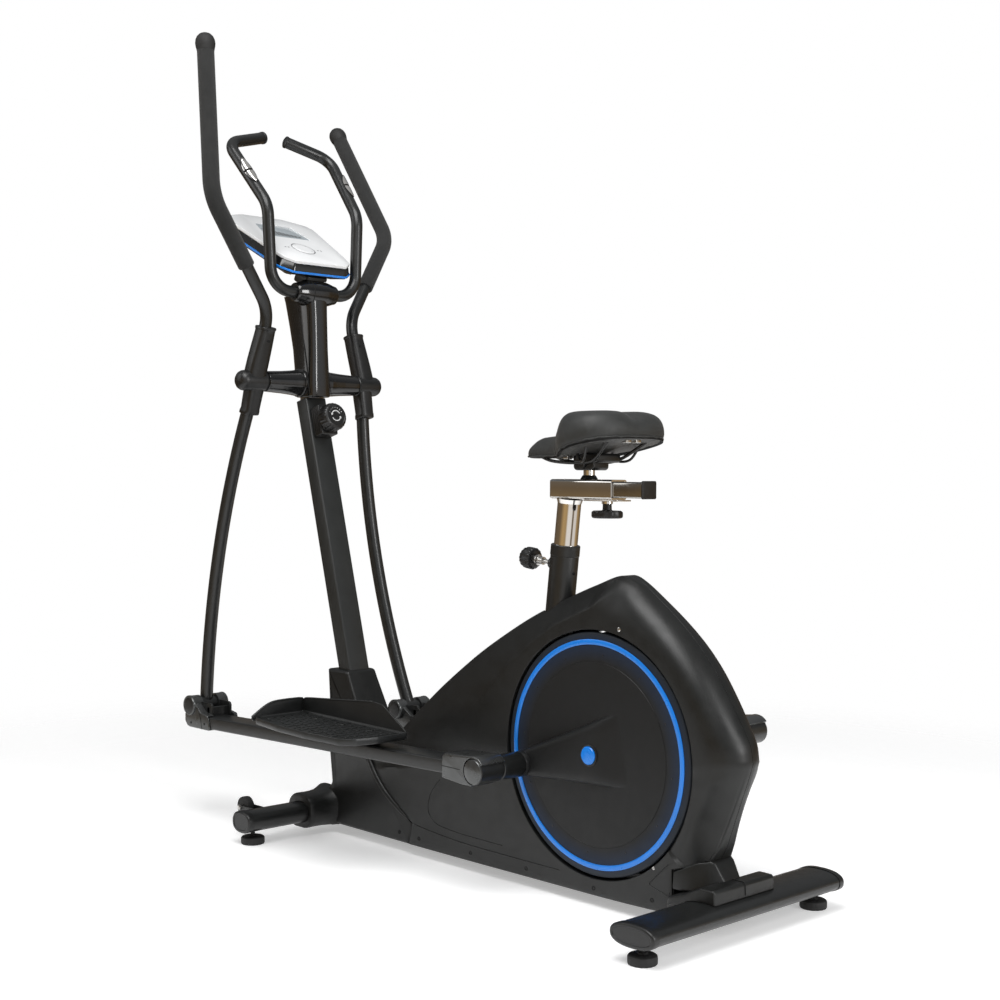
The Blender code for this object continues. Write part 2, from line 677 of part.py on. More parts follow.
# ---- arms ------------------------------------------------------------------------------
def arm_path(side):
    points = []
    for k in range(11):
        share = k / 10
        points.append(Vector((side * (ARM_TOP_X + (ARM_X - ARM_TOP_X) * share),
                              -4 * ARM_BOW * share * (1 - share), -ARM_LENGTH * share)))
    return points


HANDLE_CORNERS = [(0.1535, -0.003, 0.036), (0.148, -0.002, 0.165), (0.322, -0.024, 0.400),
                  (0.311, -0.147, 0.722)]
GRIP_START = 0.39          # share of the way from the first bend to the second


def handle_path(side):
    corners = [(side * x, y, z) for x, y, z in HANDLE_CORNERS]
    return rounded(corners, [0, 0.10, 0.10, 0], steps=4)


def grip_path(side):
    corners = [Vector((side * x, y, z)) for x, y, z in HANDLE_CORNERS]
    start = corners[1].lerp(corners[2], GRIP_START)
    return rounded([start, corners[2], corners[3]], [0, 0.10, 0], steps=4)


def make_arm(label, side):
    steel = black_steel()
    axis = joint_axis(f"{label}_arm_axis", (0, PIVOT_Y, PIVOT_Z), arm_angle(side))
    inner, outer = side * (BARREL_IN + 0.003), side * (BARREL_OUT - 0.008)

    arm = tube(f"{label}_arm_tube", arm_path(side), ARM_RADIUS, steel, solid=True)
    sleeve = rod("pivot_sleeve", (inner, 0, 0), (outer, 0, 0), ARM_SLEEVE_RADIUS, steel)
    low = rod("lower_sleeve", (side * (ARM_X - 0.0205), 0, -ARM_LENGTH),
              (side * (ARM_X + 0.0205), 0, -ARM_LENGTH), 0.018, steel)
    join(arm, sleeve, low, parent=axis)
    bore = rod("pivot_bore", (side * 0.10, 0, 0), (side * 0.25, 0, 0), AXLE_RADIUS + 0.0006, steel,
               sides=20)
    low_bore = rod("lower_bore", (side * 0.10, 0, -ARM_LENGTH), (side * 0.25, 0, -ARM_LENGTH),
                   0.0056, steel, sides=16)
    place(cut(arm, bore, low_bore, parent=axis), axis)

    handle = tube(f"{label}_handle_tube", handle_path(side), HANDLE_RADIUS, steel, sides=12)
    place(handle, axis)

    grip = tube(f"{label}_foam_grip", grip_path(side), GRIP_RADIUS, foam(), solid=True)
    top = Vector((side * HANDLE_CORNERS[3][0], *HANDLE_CORNERS[3][1:]))
    lead = (top - Vector((side * HANDLE_CORNERS[2][0], *HANDLE_CORNERS[2][1:]))).normalized()
    knob = turned("grip_end", [(0, 0.020), (0.013, 0.016), (0.0205, 0.006), (0.0225, -0.004),
                               (0.0205, -0.014), (0.019, -0.018), (0, -0.018)], top, lead, foam())
    join(grip, knob, parent=axis)
    path = handle_path(side)
    path.append(path[-1] + (path[-1] - path[-2]).normalized() * 0.001)
    inside = tube("grip_bore", path, HANDLE_RADIUS + 0.0010, foam(), solid=True)
    place(cut(grip, inside, parent=axis), axis)
    make_pivot_cover(label, side, axis)


def make_pivot_cover(label, side, axis):
    """The moulded cover over the arm's pivot sleeve, with its upper and lower boots."""
    plastic = black_plastic()
    profile = [(0, BARREL_OUT), (0.014, BARREL_OUT - 0.002), (0.0205, BARREL_OUT - 0.006),
               (BARREL_RADIUS, BARREL_OUT - 0.014), (BARREL_RADIUS, BARREL_IN), (0, BARREL_IN)]
    cover = turned(f"{label}_pivot_cover", profile, (0, 0, 0), (side, 0, 0), plastic)
    upper = [(0.138, 0.0), (0.186, 0.0), (0.184, 0.030), (0.168, 0.124), (0.128, 0.124),
             (0.130, 0.040)]
    lower = [(0.136, 0.0), (0.176, 0.0), (0.176, -0.078), (0.138, -0.078)]
    boots = []
    for name, outline, depth in (("upper_boot", upper, 0.0205), ("lower_boot", lower, 0.0200)):
        points = [(side * x, z) for x, z in outline]
        boot = plate(name, points, -depth, depth, "XZ", plastic, bevel=0.006)
        if name == "lower_boot":
            boot.data.transform(Matrix.Translation((0, -0.006, 0)))
        boots.append(boot)
    join(cover, *boots, parent=axis)
    arm = tube("boot_arm_bore", arm_path(side), ARM_RADIUS + 0.0008, plastic, solid=True)
    corners = [Vector((side * x, y, z)) for x, y, z in HANDLE_CORNERS]
    first = corners[0] - (corners[1] - corners[0]) * 0.08
    handle = tube("boot_handle_bore", rounded([first] + corners[1:], [0, 0.10, 0.10, 0], steps=4),
                  HANDLE_RADIUS + 0.0010, plastic, solid=True)
    sleeve = rod("boot_sleeve_bore", (side * (BARREL_IN - 0.01), 0, 0),
                 (side * (BARREL_OUT - 0.007), 0, 0), ARM_SLEEVE_RADIUS + 0.0006, plastic)
    place(cut(cover, sleeve, arm, handle, parent=axis), axis)


# ---- rails and pedals ------------------------------------------------------------------
def make_rail(label, side):
    """A rail, its covers and its pedal.  y runs back from the lower pivot to the pin."""
    steel = black_steel()
    axis = joint_axis(f"{label}_rail_axis", (0, *lower_pivot(side)), rail_angle(side))
    start, end = 0.052, RAIL_LENGTH - 0.012
    slope = math.atan2(RAIL_DROP, end - start)
    rail = box(f"{label}_rail", mirrored_low(side, (RAIL_IN, start, -RAIL_DROP - RAIL_HEIGHT / 2),
                                             (RAIL_OUT, end, -RAIL_DROP + RAIL_HEIGHT / 2)),
               mirrored_high(side, (RAIL_IN, start, -RAIL_DROP - RAIL_HEIGHT / 2),
                             (RAIL_OUT, end, -RAIL_DROP + RAIL_HEIGHT / 2)), steel, bevel=0.003,
               turn=math.degrees(slope), about=(0, start, -RAIL_DROP))
    sleeve = rod("rail_sleeve", (side * (RAIL_IN + 0.0004), RAIL_LENGTH, 0),
                 (side * (RAIL_OUT + 0.002), RAIL_LENGTH, 0), RAIL_SLEEVE_RADIUS, steel, bevel=0.002)
    pieces = [sleeve]
    for offset in (-1, 1):
        x = ARM_X + offset * 0.0250
        low, high = (x - 0.0025, -0.012, -RAIL_DROP - 0.012), (x + 0.0025, 0.066, 0.010)
        pieces.append(box("fork_cheek", mirrored_low(side, low, high), mirrored_high(side, low, high),
                          steel))
    low, high = (ARM_X - 0.0275, 0.046, -RAIL_DROP - 0.012), (ARM_X + 0.0275, 0.056, 0.000)
    pieces.append(box("fork_bridge", mirrored_low(side, low, high), mirrored_high(side, low, high),
                      steel))
    pieces.append(rod("fork_bolt", (side * (ARM_X - 0.034), 0, 0), (side * (ARM_X + 0.034), 0, 0),
                      0.0050, steel, sides=16))
    join(rail, *pieces, parent=axis)
    low = (RAIL_IN + TUBE_WALL, start - 0.03, -RAIL_DROP - RAIL_HEIGHT / 2 + TUBE_WALL)
    high = (RAIL_OUT - TUBE_WALL, end - 0.030, -RAIL_DROP + RAIL_HEIGHT / 2 - TUBE_WALL)
    hollow = box("rail_bore", mirrored_low(side, low, high), mirrored_high(side, low, high), steel,
                 turn=math.degrees(slope), about=(0, start, -RAIL_DROP))
    place(cut(rail, hollow, parent=axis), axis)
    make_fork_cover(label, side, axis)
    make_rail_end_cover(label, side, axis)
    make_pedal(label, side, axis)


def mirrored_low(side, low, high):
    return (low[0] if side > 0 else -high[0], low[1], low[2])


def mirrored_high(side, low, high):
    return (high[0] if side > 0 else -low[0], high[1], high[2])


def side_box(name, side, low, high, mat, bevel=0.0):
    return box(name, mirrored_low(side, low, high), mirrored_high(side, low, high), mat, bevel)


def make_fork_cover(label, side, axis):
    plastic = silver_plastic()
    bottom = -RAIL_DROP - RAIL_HEIGHT / 2 - 0.003
    outline = [(-0.010, -0.008), (-0.0205, -0.022), (-0.0200, bottom + 0.012),
               (-0.010, bottom + 0.002), (0.0, bottom), (0.086, bottom + 0.001),
               (0.074, -RAIL_DROP + RAIL_HEIGHT / 2 + 0.004),
               (0.046, -RAIL_DROP + RAIL_HEIGHT / 2 + 0.008), (0.027, 0.002), (0.010, 0.012)]
    cover = plate(f"{label}_fork_cover", outline, side * (FORK_IN + 0.010), side * (RAIL_OUT + 0.003),
                  "YZ", plastic, bevel=0.0012)
    barrel = rod("fork_barrel", (side * FORK_IN, 0, 0), (side * FORK_OUT, 0, 0), FORK_BARREL_RADIUS,
                 plastic, bevel=0.002)
    join(cover, barrel, parent=axis)
    slot_in, slot_out = ARM_X - 0.0215, ARM_X + 0.0215
    hollow = [
        side_box("fork_slot", side, (slot_in, -0.04, -0.0236), (slot_out, 0.0447, 0.05), plastic),
        side_box("fork_cavity", side, (ARM_X - 0.0280, -0.0130, -RAIL_DROP - 0.0126),
                 (ARM_X + 0.0280, 0.12, 0.0106), plastic),
        side_box("rail_slot", side, (RAIL_IN - 0.0005, 0.0510, -RAIL_DROP - RAIL_HEIGHT / 2 - 0.0005),
                 (RAIL_OUT + 0.0005, 0.12, -RAIL_DROP + RAIL_HEIGHT / 2 + 0.0030), plastic),
        rod("fork_bolt_hole", (side * (ARM_X - 0.0345), 0, 0), (side * (ARM_X + 0.0345), 0, 0),
            0.0056, plastic, sides=16)]
    place(cut(cover, *hollow, parent=axis), axis)


def make_rail_end_cover(label, side, axis):
    """The plastic cover where the rail meets its rear sleeve, open towards the crank."""
    plastic = silver_plastic()
    radius = RAIL_SLEEVE_RADIUS + 0.0045
    front = RAIL_LENGTH - 0.088
    arc = circle(radius, (RAIL_LENGTH, 0), count=8, start=35, sweep=75)
    outline = [(front, -0.024), (front, 0.018), (front + 0.008, 0.024)] + arc[::-1] + [
        (RAIL_LENGTH + 0.012, 0.004), (RAIL_LENGTH - 0.006, -radius + 0.002)]
    cover = plate(f"{label}_rail_end_cover", outline, side * (RAIL_IN + 0.001),
                  side * (RAIL_OUT + 0.0022), "YZ", plastic, bevel=0.0)
    sleeve = rod("cover_sleeve_bore", (side * 0.10, RAIL_LENGTH, 0), (side * 0.25, RAIL_LENGTH, 0),
                 RAIL_SLEEVE_RADIUS + 0.0006, plastic)
    slot = side_box("cover_rail_slot", side, (0.10, front - 0.02, -0.0205),
                    (RAIL_OUT + 0.0006, RAIL_LENGTH, 0.0175), plastic)
    place(cut(cover, sleeve, slot, parent=axis), axis)


def make_pedal(label, side, axis):
    plastic = black_plastic()
    y0, z0 = PEDAL_FRONT, PEDAL_FLOOR
    y1 = y0 + PEDAL_LENGTH
    outline = [(0.150, y0), (0.270, y0), (0.292, y0 + 0.020), (0.308, y0 + 0.120),
               (0.312, y0 + 0.220), (0.304, y1 - 0.035), (0.280, y1 - 0.010), (0.230, y1),
               (0.150, y1)]
    flat = [(side * x, y) for x, y in outline]
    inset = [(side * x, y) for x, y in (
        (0.154, y0 + 0.004), (0.268, y0 + 0.004), (0.288, y0 + 0.022), (0.304, y0 + 0.120),
        (0.308, y0 + 0.220), (0.300, y1 - 0.037), (0.278, y1 - 0.014), (0.230, y1 - 0.004),
        (0.154, y1 - 0.004))]
    pedal = plate(f"{label}_pedal", flat, z0 - 0.010, z0 + 0.005, "XY", plastic)
    tray = plate("pedal_tray", inset, z0, z0 + 0.02, "XY", plastic)
    cut(pedal, tray, parent=axis)
    side_wall = [(y0, z0 - 0.006), (y0, z0 + 0.026), (y0 + 0.010, z0 + 0.032),
                 (y0 + 0.260, z0 + 0.055), (y0 + 0.285, z0 + 0.052), (y1 - 0.004, z0 + 0.006),
                 (y1, z0 - 0.006)]
    wall = plate("pedal_wall", side_wall, side * 0.1495, side * 0.1540, "YZ", plastic)
    front_wall = [(side * x, z) for x, z in (
        (0.1495, z0 - 0.006), (0.1495, z0 + 0.030), (0.156, z0 + 0.032), (0.228, z0 + 0.031),
        (0.256, z0 + 0.022), (0.284, z0 + 0.001), (0.280, z0 - 0.006))]
    front = plate("pedal_front_wall", front_wall, y0 - 0.0005, y0 + 0.0045, "XZ", plastic)
    pads = []
    for share in (0.30, 0.72):
        middle = y0 + PEDAL_LENGTH * share
        under = rail_top(middle + 0.02) + GAP
        pads.append(side_box("pedal_pad", side, (RAIL_IN + 0.006, middle - 0.020, under),
                             (RAIL_OUT - 0.006, middle + 0.020, z0 - 0.005), plastic))
    join(pedal, wall, front, *pads, parent=axis)
    place(pedal, axis)


def rail_top(y):
    """Height of a rail's top face above its pivot line, y back from the lower pivot."""
    start, end = 0.052, RAIL_LENGTH - 0.012
    slope = math.atan2(RAIL_DROP, end - start)
    return -RAIL_DROP + (RAIL_HEIGHT / 2) / math.cos(slope) + (y - start) * math.tan(slope)


# ---- crank and drive -------------------------------------------------------------------
def make_cranks():
    steel = black_steel()
    axis = joint_axis("crank_axis", (0, 0, CRANK_Z), CRANK_ANGLE)
    pulley = rod("drive_pulley", (PULLEY_IN, 0, 0), (PULLEY_OUT, 0, 0), PULLEY_RADIUS,
                 black_plastic(), sides=32)
    axle = rod("crank_axle", (-0.0795, 0, 0), (0.0795, 0, 0), 0.0095, bare_steel(), sides=20)
    join(pulley, axle, parent=axis)
    holes = [rod("pulley_hole", (0, 0.070 * math.cos(a), 0.070 * math.sin(a)),
                 (0.07, 0.070 * math.cos(a), 0.070 * math.sin(a)), 0.024, black_plastic(), sides=10)
             for a in [math.radians(120 * k + 60) for k in range(3)]]
    place(cut(pulley, *holes, parent=axis), axis)
    for label, side in SIDES:
        pin = -side * CRANK_RADIUS
        outline = (circle(0.028, (0, 0), count=8, start=-90, sweep=180)
                   + circle(0.0235, (-CRANK_RADIUS, 0), count=8, start=90, sweep=180))
        outline = [(side * y, z) for y, z in outline]
        arm = plate(f"{label}_crank_arm", outline, side * (SIDE_X + GAP), side * (SIDE_X + 0.019),
                    "YZ", steel)
        boss = rod("crank_boss", (side * (SIDE_X + 0.001), pin, 0), (side * BOSS_OUT, pin, 0),
                   BOSS_RADIUS, steel, bevel=0.002)
        join(arm, boss, parent=axis)
        bore = rod("arm_bore", (side * 0.02, 0, 0), (side * 0.12, 0, 0), 0.0095 + GAP, steel, sides=20)
        place(cut(arm, bore, parent=axis), axis)
        inner = 0.0125
        profile = [(inner, SIDE_X), (DISC_RADIUS - 0.003, SIDE_X), (DISC_RADIUS, SIDE_X - 0.004),
                   (DISC_RADIUS, SIDE_X - 0.010), (DISC_RADIUS - 0.004, SIDE_X - 0.010),
                   (DISC_RADIUS - 0.004, SIDE_X - 0.004), (inner, SIDE_X - 0.004)]
        place(turned(f"{label}_crank_disc", profile, (0, 0, 0), (side, 0, 0), black_plastic(),
                     steps=32), axis)


def make_flywheel():
    axis = joint_axis("flywheel_axis", (0, FLYWHEEL_Y, FLYWHEEL_Z))
    half = FLYWHEEL_WIDTH / 2
    profile = [(0, PULLEY_OUT + 0.001), (SMALL_PULLEY_RADIUS, PULLEY_OUT + 0.001),
               (SMALL_PULLEY_RADIUS, PULLEY_IN), (0.006, PULLEY_IN), (0.006, half - 0.008),
               (0.080, half - 0.008), (0.088, half), (FLYWHEEL_RADIUS, half),
               (FLYWHEEL_RADIUS, -half), (0.006, -half), (0.006, -0.024), (0, -0.024)]
    place(turned("flywheel", profile, (0, 0, 0), (1, 0, 0), bare_steel(), steps=24), axis)


def belt_outline(extra):
    """The loop round both pulleys, extra outside their rims."""
    big, small = PULLEY_RADIUS + extra, SMALL_PULLEY_RADIUS + extra
    dy, dz = FLYWHEEL_Y, FLYWHEEL_Z - CRANK_Z
    along = math.degrees(math.atan2(dz, dy))
    open_angle = math.degrees(math.acos((big - small) / math.hypot(dy, dz)))
    big_arc = circle(big, (0, CRANK_Z), count=24, start=along + open_angle,
                     sweep=360 - 2 * open_angle)
    small_arc = circle(small, (FLYWHEEL_Y, FLYWHEEL_Z), count=8, start=along - open_angle,
                       sweep=2 * open_angle)
    return big_arc + small_arc


def make_belt():
    place(plate("drive_belt", belt_outline(0.0042), PULLEY_IN + 0.001, PULLEY_OUT - 0.001, "YZ",
                rubber(), hole=belt_outline(0.0012)))


def make_brake():
    """The magnet carrier in front of the flywheel's rim, on its foot."""
    centre = (FLYWHEEL_Y, FLYWHEEL_Z)
    inner = circle(FLYWHEEL_RADIUS + 0.003, centre, count=8, start=120, sweep=80)
    outer = circle(FLYWHEEL_RADIUS + 0.018, centre, count=8, start=120, sweep=80)
    brake = plate("magnetic_brake", inner + list(reversed(outer)), -0.014, 0.014, "YZ", bare_steel())
    top = BEAM_Z + BEAM_HEIGHT / 2 + GAP
    low_y = centre[0] - (FLYWHEEL_RADIUS + 0.010) * math.cos(math.radians(20))
    join(brake, box("brake_foot", (-0.010, low_y - 0.006, top), (0.010, low_y + 0.006,
                                                                FLYWHEEL_Z - 0.030), bare_steel()))
    place(brake)


# ---- housing ---------------------------------------------------------------------------
# y, z and half width where the side shell turns over into its edge
SHELL_EDGE = [
    (0.028, 0.630, 0.022), (0.062, 0.620, 0.021), (0.108, 0.592, 0.019), (0.160, 0.556, 0.017),
    (0.205, 0.520, 0.015), (0.243, 0.480, 0.013), (0.277, 0.434, 0.012), (0.308, 0.386, 0.012),
    (0.330, 0.345, 0.012), (0.335, 0.313, 0.012), (0.325, 0.280, 0.012), (0.310, 0.235, 0.014),
    (0.295, 0.190, 0.018), (0.281, 0.150, 0.024), (0.270, 0.128, 0.032), (0.228, 0.118, 0.050),
    (0.1925, 0.106, 0.055), (0.1925, 0.024, 0.055), (0.090, 0.021, 0.055), (0.000, 0.020, 0.055),
    (-0.090, 0.020, 0.055), (-0.200, 0.020, 0.055), (-0.350, 0.020, 0.055), (-0.548, 0.020, 0.053),
    (-0.535, 0.068, 0.055), (-0.590, 0.098, 0.055), (-0.640, 0.130, 0.054), (-0.690, 0.186, 0.050),
    (-0.672, 0.204, 0.044), (-0.632, 0.231, 0.036), (-0.590, 0.268, 0.032), (-0.548, 0.305, 0.030),
    (-0.470, 0.370, 0.026), (-0.371, 0.441, 0.024), (-0.299, 0.485, 0.024), (-0.207, 0.535, 0.024),
    (-0.097, 0.584, 0.024), (-0.030, 0.610, 0.024)]
SHELL_STEPS = (0.0, 0.6, 1.0)


def shell_edge():
    """The edge with points added where it would leave the round opening too coarse."""
    centre = Vector((0.0, CRANK_Z))
    result = []
    for first, second in zip(SHELL_EDGE, SHELL_EDGE[1:] + SHELL_EDGE[:1]):
        a, b = Vector(first[:2]) - centre, Vector(second[:2]) - centre
        count = max(1, math.ceil(math.degrees(a.angle(b)) / 14.0))
        for k in range(count):
            result.append(tuple(Vector(first).lerp(Vector(second), k / count)))
    return result


def make_side_shell(label, side):
    edge = shell_edge()
    radius = DISC_RADIUS + DISC_CLEARANCE
    bm = bmesh.new()
    rings = []
    lip = []
    for y, z, width in edge:
        out = Vector((y, z - CRANK_Z)).normalized() * radius
        lip.append(bm.verts.new((side * (SIDE_X - 0.010), out.x, CRANK_Z + out.y)))
    rings.append(lip)
    for share in SHELL_STEPS:
        ring = []
        for y, z, width in edge:
            out = Vector((y, z - CRANK_Z)).normalized() * radius
            point = Vector((out.x, CRANK_Z + out.y)).lerp(Vector((y, z)), share)
            x = SIDE_X + (width - SIDE_X) * share ** 2.5
            ring.append(bm.verts.new((side * x, point.x, point.y)))
        rings.append(ring)
    rings.append([bm.verts.new((side * 0.0004, y, z)) for y, z, width in edge])
    for inner, outer in zip(rings, rings[1:]):
        for k in range(len(edge)):
            nxt = (k + 1) % len(edge)
            bm.faces.new((inner[k], inner[nxt], outer[nxt], outer[k]))
    bmesh.ops.recalc_face_normals(bm, faces=bm.faces)
    bm.faces.ensure_lookup_table()
    probe = bm.faces[3 * len(edge)]
    if probe.normal.x * side < 0:
        bmesh.ops.reverse_faces(bm, faces=bm.faces)
    shell = from_bmesh(f"{label}_housing_shell", bm, black_plastic())
    mod = shell.modifiers.new("wall", "SOLIDIFY")
    mod.thickness = WALL
    mod.offset = -1.0
    solid = as_mesh(shell)
    cutters = housing_cutters()
    place(cut(solid, *cutters))


def housing_cutters():
    """What passes through the side shells: the seat tube and the main beam."""
    made = [bpy.data.objects.get(n) for n in ("shell_seat_hole", "shell_beam_slot")]
    if all(made):
        return made
    plastic = black_plastic()
    seat = rod("shell_seat_hole", seat_point(-0.25), seat_point(0.05), SEAT_TUBE_RADIUS + 0.0012,
               plastic, sides=32)
    half = BEAM_WIDTH / 2 + 0.001
    beam = box("shell_beam_slot", (-half, -0.9, BEAM_Z - BEAM_HEIGHT / 2 - 0.001),
               (half, 0.4, BEAM_Z + BEAM_HEIGHT / 2 + 0.001), plastic)
    return [seat, beam]


def front_outline(inset=0.0):
    """The front cover seen from the side, with its boot up round the mast."""
    seam = 0.0015
    back = [(-0.549 - seam, 0.018 + inset), (-0.536 - seam * 2, 0.067), (-0.641 - seam, 0.128),
            (-0.692 - seam, 0.187), (-0.700, 0.203 - inset)]
    if inset:
        back = [(-0.50, 0.018 + inset), (-0.50, 0.12), (-0.60, 0.19), (-0.66, 0.203 - inset),
                (-0.700 - inset, 0.203 - inset)]
    return back + [
        (-0.728 - inset, 0.275 - inset), (-0.772 - inset, 0.352), (-0.777 - inset, 0.371 + 2 * inset),
        (-0.851 + inset, 0.371 + 2 * inset), (-0.842 + inset, 0.300), (-0.836 + inset, 0.190),
        (-0.824 + inset, 0.112), (-0.852 + inset, 0.086), (-0.852 + inset, 0.030 + inset),
        (-0.800, 0.020 + inset)]


def make_front_cover():
    plastic = black_plastic()
    cover = plate("front_housing_cover", front_outline(), -0.050, 0.050, "YZ", plastic, bevel=0.008)
    centre = (FRONT_Y, FRONT_Z + 0.002)
    tunnel = plate("front_sleeve", oval(0.086, 0.080, power=2.2, count=24, centre=centre), -0.120,
                   0.120, "YZ", plastic, bevel=0.004)
    join(cover, tunnel)
    inside = plate("front_inside", front_outline(WALL), -0.047, 0.047, "YZ", plastic, bevel=0.006)
    passage = plate("front_passage", oval(FRONT_DEPTH + 0.002, FRONT_HEIGHT + 0.002,
                                          centre=(FRONT_Y, FRONT_Z)), -0.2, 0.2, "YZ", plastic)
    place(cut(cover, inside, passage))


def make_rear_skirt():
    """The low cover over the joint of the housing and the rear stabiliser."""
    plastic = black_plastic()
    outline = [(0.194, 0.027), (0.194, 0.1035), (0.229, 0.1155), (0.266, 0.1245), (0.2785, 0.104),
               (0.287, 0.100), (0.3075, 0.096), (0.3105, 0.072), (0.300, 0.040), (0.240, 0.027)]
    skirt = plate("rear_skirt_cover", outline, -0.088, 0.088, "YZ", plastic)
    inner = [(0.1975, 0.02), (0.1975, 0.098), (0.229, 0.110), (0.262, 0.117), (0.274, 0.098),
             (0.285, 0.094), (0.285, 0.02)]
    inside = plate("skirt_inside", inner, -0.084, 0.084, "YZ", plastic)
    passage = plate("skirt_passage", oval(REAR_DEPTH + 0.002, REAR_HEIGHT + 0.002,
                                          centre=(REAR_Y, REAR_Z)), -0.2, 0.2, "YZ", plastic)
    half = BEAM_WIDTH / 2 + 0.001
    beam = box("skirt_beam_slot", (-half, 0.18, 0.015), (half, 0.255, BEAM_Z + BEAM_HEIGHT / 2 + 0.001),
               plastic)
    under = box("skirt_under", (-0.19, 0.2385, 0.0), (0.19, 0.4, REAR_Z - 0.0065), plastic)
    place(cut(skirt, inside, passage, beam, under))


# ---- seat ------------------------------------------------------------------------------
def make_seat_post():
    steel = chrome()
    half = CARRIAGE_WIDTH / 2
    top = CARRIAGE_BOTTOM + CARRIAGE_HEIGHT
    post = rod("seat_post", seat_point(-0.165), seat_point((CARRIAGE_BOTTOM - SEAT_TOP_Z) / math.cos(
        math.radians(SEAT_LEAN)) + 0.002), SEAT_POST_RADIUS, steel, sides=32)
    channel = box("seat_channel", (-half, CARRIAGE_FRONT, CARRIAGE_BOTTOM), (half, CARRIAGE_REAR, top),
                  steel, bevel=0.004)
    join(post, channel)
    inside = box("channel_inside", (-half + CARRIAGE_WALL, CARRIAGE_FRONT + 0.003,
                                    CARRIAGE_BOTTOM + CARRIAGE_WALL),
                 (half - CARRIAGE_WALL, CARRIAGE_REAR + 0.05, top - CARRIAGE_WALL), steel)
    slot = box("channel_slot", (-0.0130, STEM_Y - 0.075, top - 0.01), (0.0130, STEM_Y + 0.057,
                                                                      top + 0.01), steel)
    holes = []
    for k in range(-5, 4):
        along = PIN_ALONG + k * HOLE_STEP
        holes.append(rod("pin_hole", seat_point(along, SEAT_POST_RADIUS - HOLE_DEPTH),
                         seat_point(along, 0.05), 0.0056, steel, sides=12))
    screw = rod("channel_screw_hole", (0, -0.027, CARRIAGE_BOTTOM - 0.01),
                (0, -0.027, CARRIAGE_BOTTOM + 0.01), 0.0056, steel, sides=16)
    place(cut(post, inside, slot, screw, *holes))


def make_slider():
    steel = chrome()
    wall = CARRIAGE_WALL + GAP
    half = CARRIAGE_WIDTH / 2 - wall
    low, top = CARRIAGE_BOTTOM + wall, CARRIAGE_BOTTOM + CARRIAGE_HEIGHT - wall
    bar = box("seat_slider_bar", (-half, CARRIAGE_FRONT + 0.066, low), (half, BAR_END, top), steel,
              bevel=0.002)
    stem = rod("saddle_stem", (0, STEM_Y, top - 0.01), (0, STEM_Y, SADDLE_BOTTOM - 0.0026), 0.0112,
               steel, sides=24)
    place(join(bar, stem))


# y along the saddle and half width of its edge there
SADDLE_PLAN = [(-0.232, 0.0), (-0.226, 0.022), (-0.200, 0.036), (-0.160, 0.043), (-0.120, 0.054),
               (-0.085, 0.085), (-0.050, 0.112), (-0.015, 0.120), (0.020, 0.112), (0.046, 0.084),
               (0.058, 0.045), (0.060, 0.0)]


def saddle_outline(inset):
    half = [(max(w - inset, 0.0), y) for y, w in SADDLE_PLAN]
    half[0] = (0.0, half[0][1] + inset)
    half[-1] = (0.0, half[-1][1] - inset)
    half[-2] = (half[-2][0], half[-2][1] - inset)
    half[1] = (half[1][0] + inset * 0.5, half[1][1] + inset)
    return half + [(-x, y) for x, y in reversed(half[1:-1])]


def make_saddle():
    pan_low, pan_high = SADDLE_BOTTOM, SADDLE_BOTTOM + 0.012
    plastic = black_plastic()
    base = plate("saddle_base", saddle_outline(0.010), pan_low, pan_high, "XY", plastic)
    clamp = box("saddle_clamp", (-0.024, STEM_Y - 0.024, SADDLE_BOTTOM - 0.017),
                (0.024, STEM_Y + 0.034, SADDLE_BOTTOM + 0.004), plastic, bevel=0.005)
    join(base, clamp)
    bore = rod("clamp_bore", (0, STEM_Y, SADDLE_BOTTOM - 0.06), (0, STEM_Y, SADDLE_BOTTOM - 0.002),
               0.0118, plastic, sides=24)
    place(cut(base, bore))

    rings = ((0.006, 0.0), (0.0, 0.018), (0.004, 0.050), (0.020, 0.072), (0.045, 0.0806))
    bm = bmesh.new()
    loops = []
    floor = pan_high + GAP
    for inset, height in rings:
        loop = []
        for x, y in saddle_outline(inset):
            drop = 0.048 * max(0.0, min(1.0, (-y - 0.060) / 0.11)) * height / 0.0806
            loop.append(bm.verts.new((x, y, floor + height - drop)))
        loops.append(loop)
    for low, high in zip(loops, loops[1:]):
        for k in range(len(low)):
            nxt = (k + 1) % len(low)
            bm.faces.new((low[k], low[nxt], high[nxt], high[k]))
    bm.faces.new(loops[-1])
    bm.faces.new(list(reversed(loops[0])))
    bmesh.ops.recalc_face_normals(bm, faces=bm.faces)
    place(from_bmesh("saddle_cushion", bm, vinyl()))


def make_seat_knobs():
    start = seat_point(PIN_ALONG)
    out = seat_point(PIN_ALONG, 1.0) - start
    axis = joint_axis("height_knob_axis", start)
    tip = SEAT_POST_RADIUS + GAP
    profile = [(0, 0.110), (0.017, 0.110), (0.0215, 0.105), (0.0225, 0.096), (0.0225, 0.084),
               (0.018, 0.080), (0.008, 0.080), (0.008, 0.056), (0.0045, 0.056), (0.0045, tip),
               (0, tip)]
    place(turned("seat_height_knob", profile, (0, 0, 0), out, black_plastic()), axis)
    low = CARRIAGE_BOTTOM - GAP
    screw_axis = joint_axis("slider_knob_axis", (0, -0.027, low))
    profile = [(0, CARRIAGE_WALL), (0.0045, CARRIAGE_WALL), (0.0045, 0), (0.0085, 0),
               (0.0095, -0.020), (0.029, -0.0215), (0.031, -0.026), (0.031, -0.032),
               (0.028, -0.0355), (0, -0.0355)]
    place(turned("seat_slider_knob", profile, (0, 0, 0), (0, 0, 1), black_plastic()), screw_axis)


def move_to_origin():
    """Shift everything so that the origin is under the middle of the machine."""
    for obj in bpy.data.objects:
        if obj.parent is None:
            obj.location.y += CRANK_Y


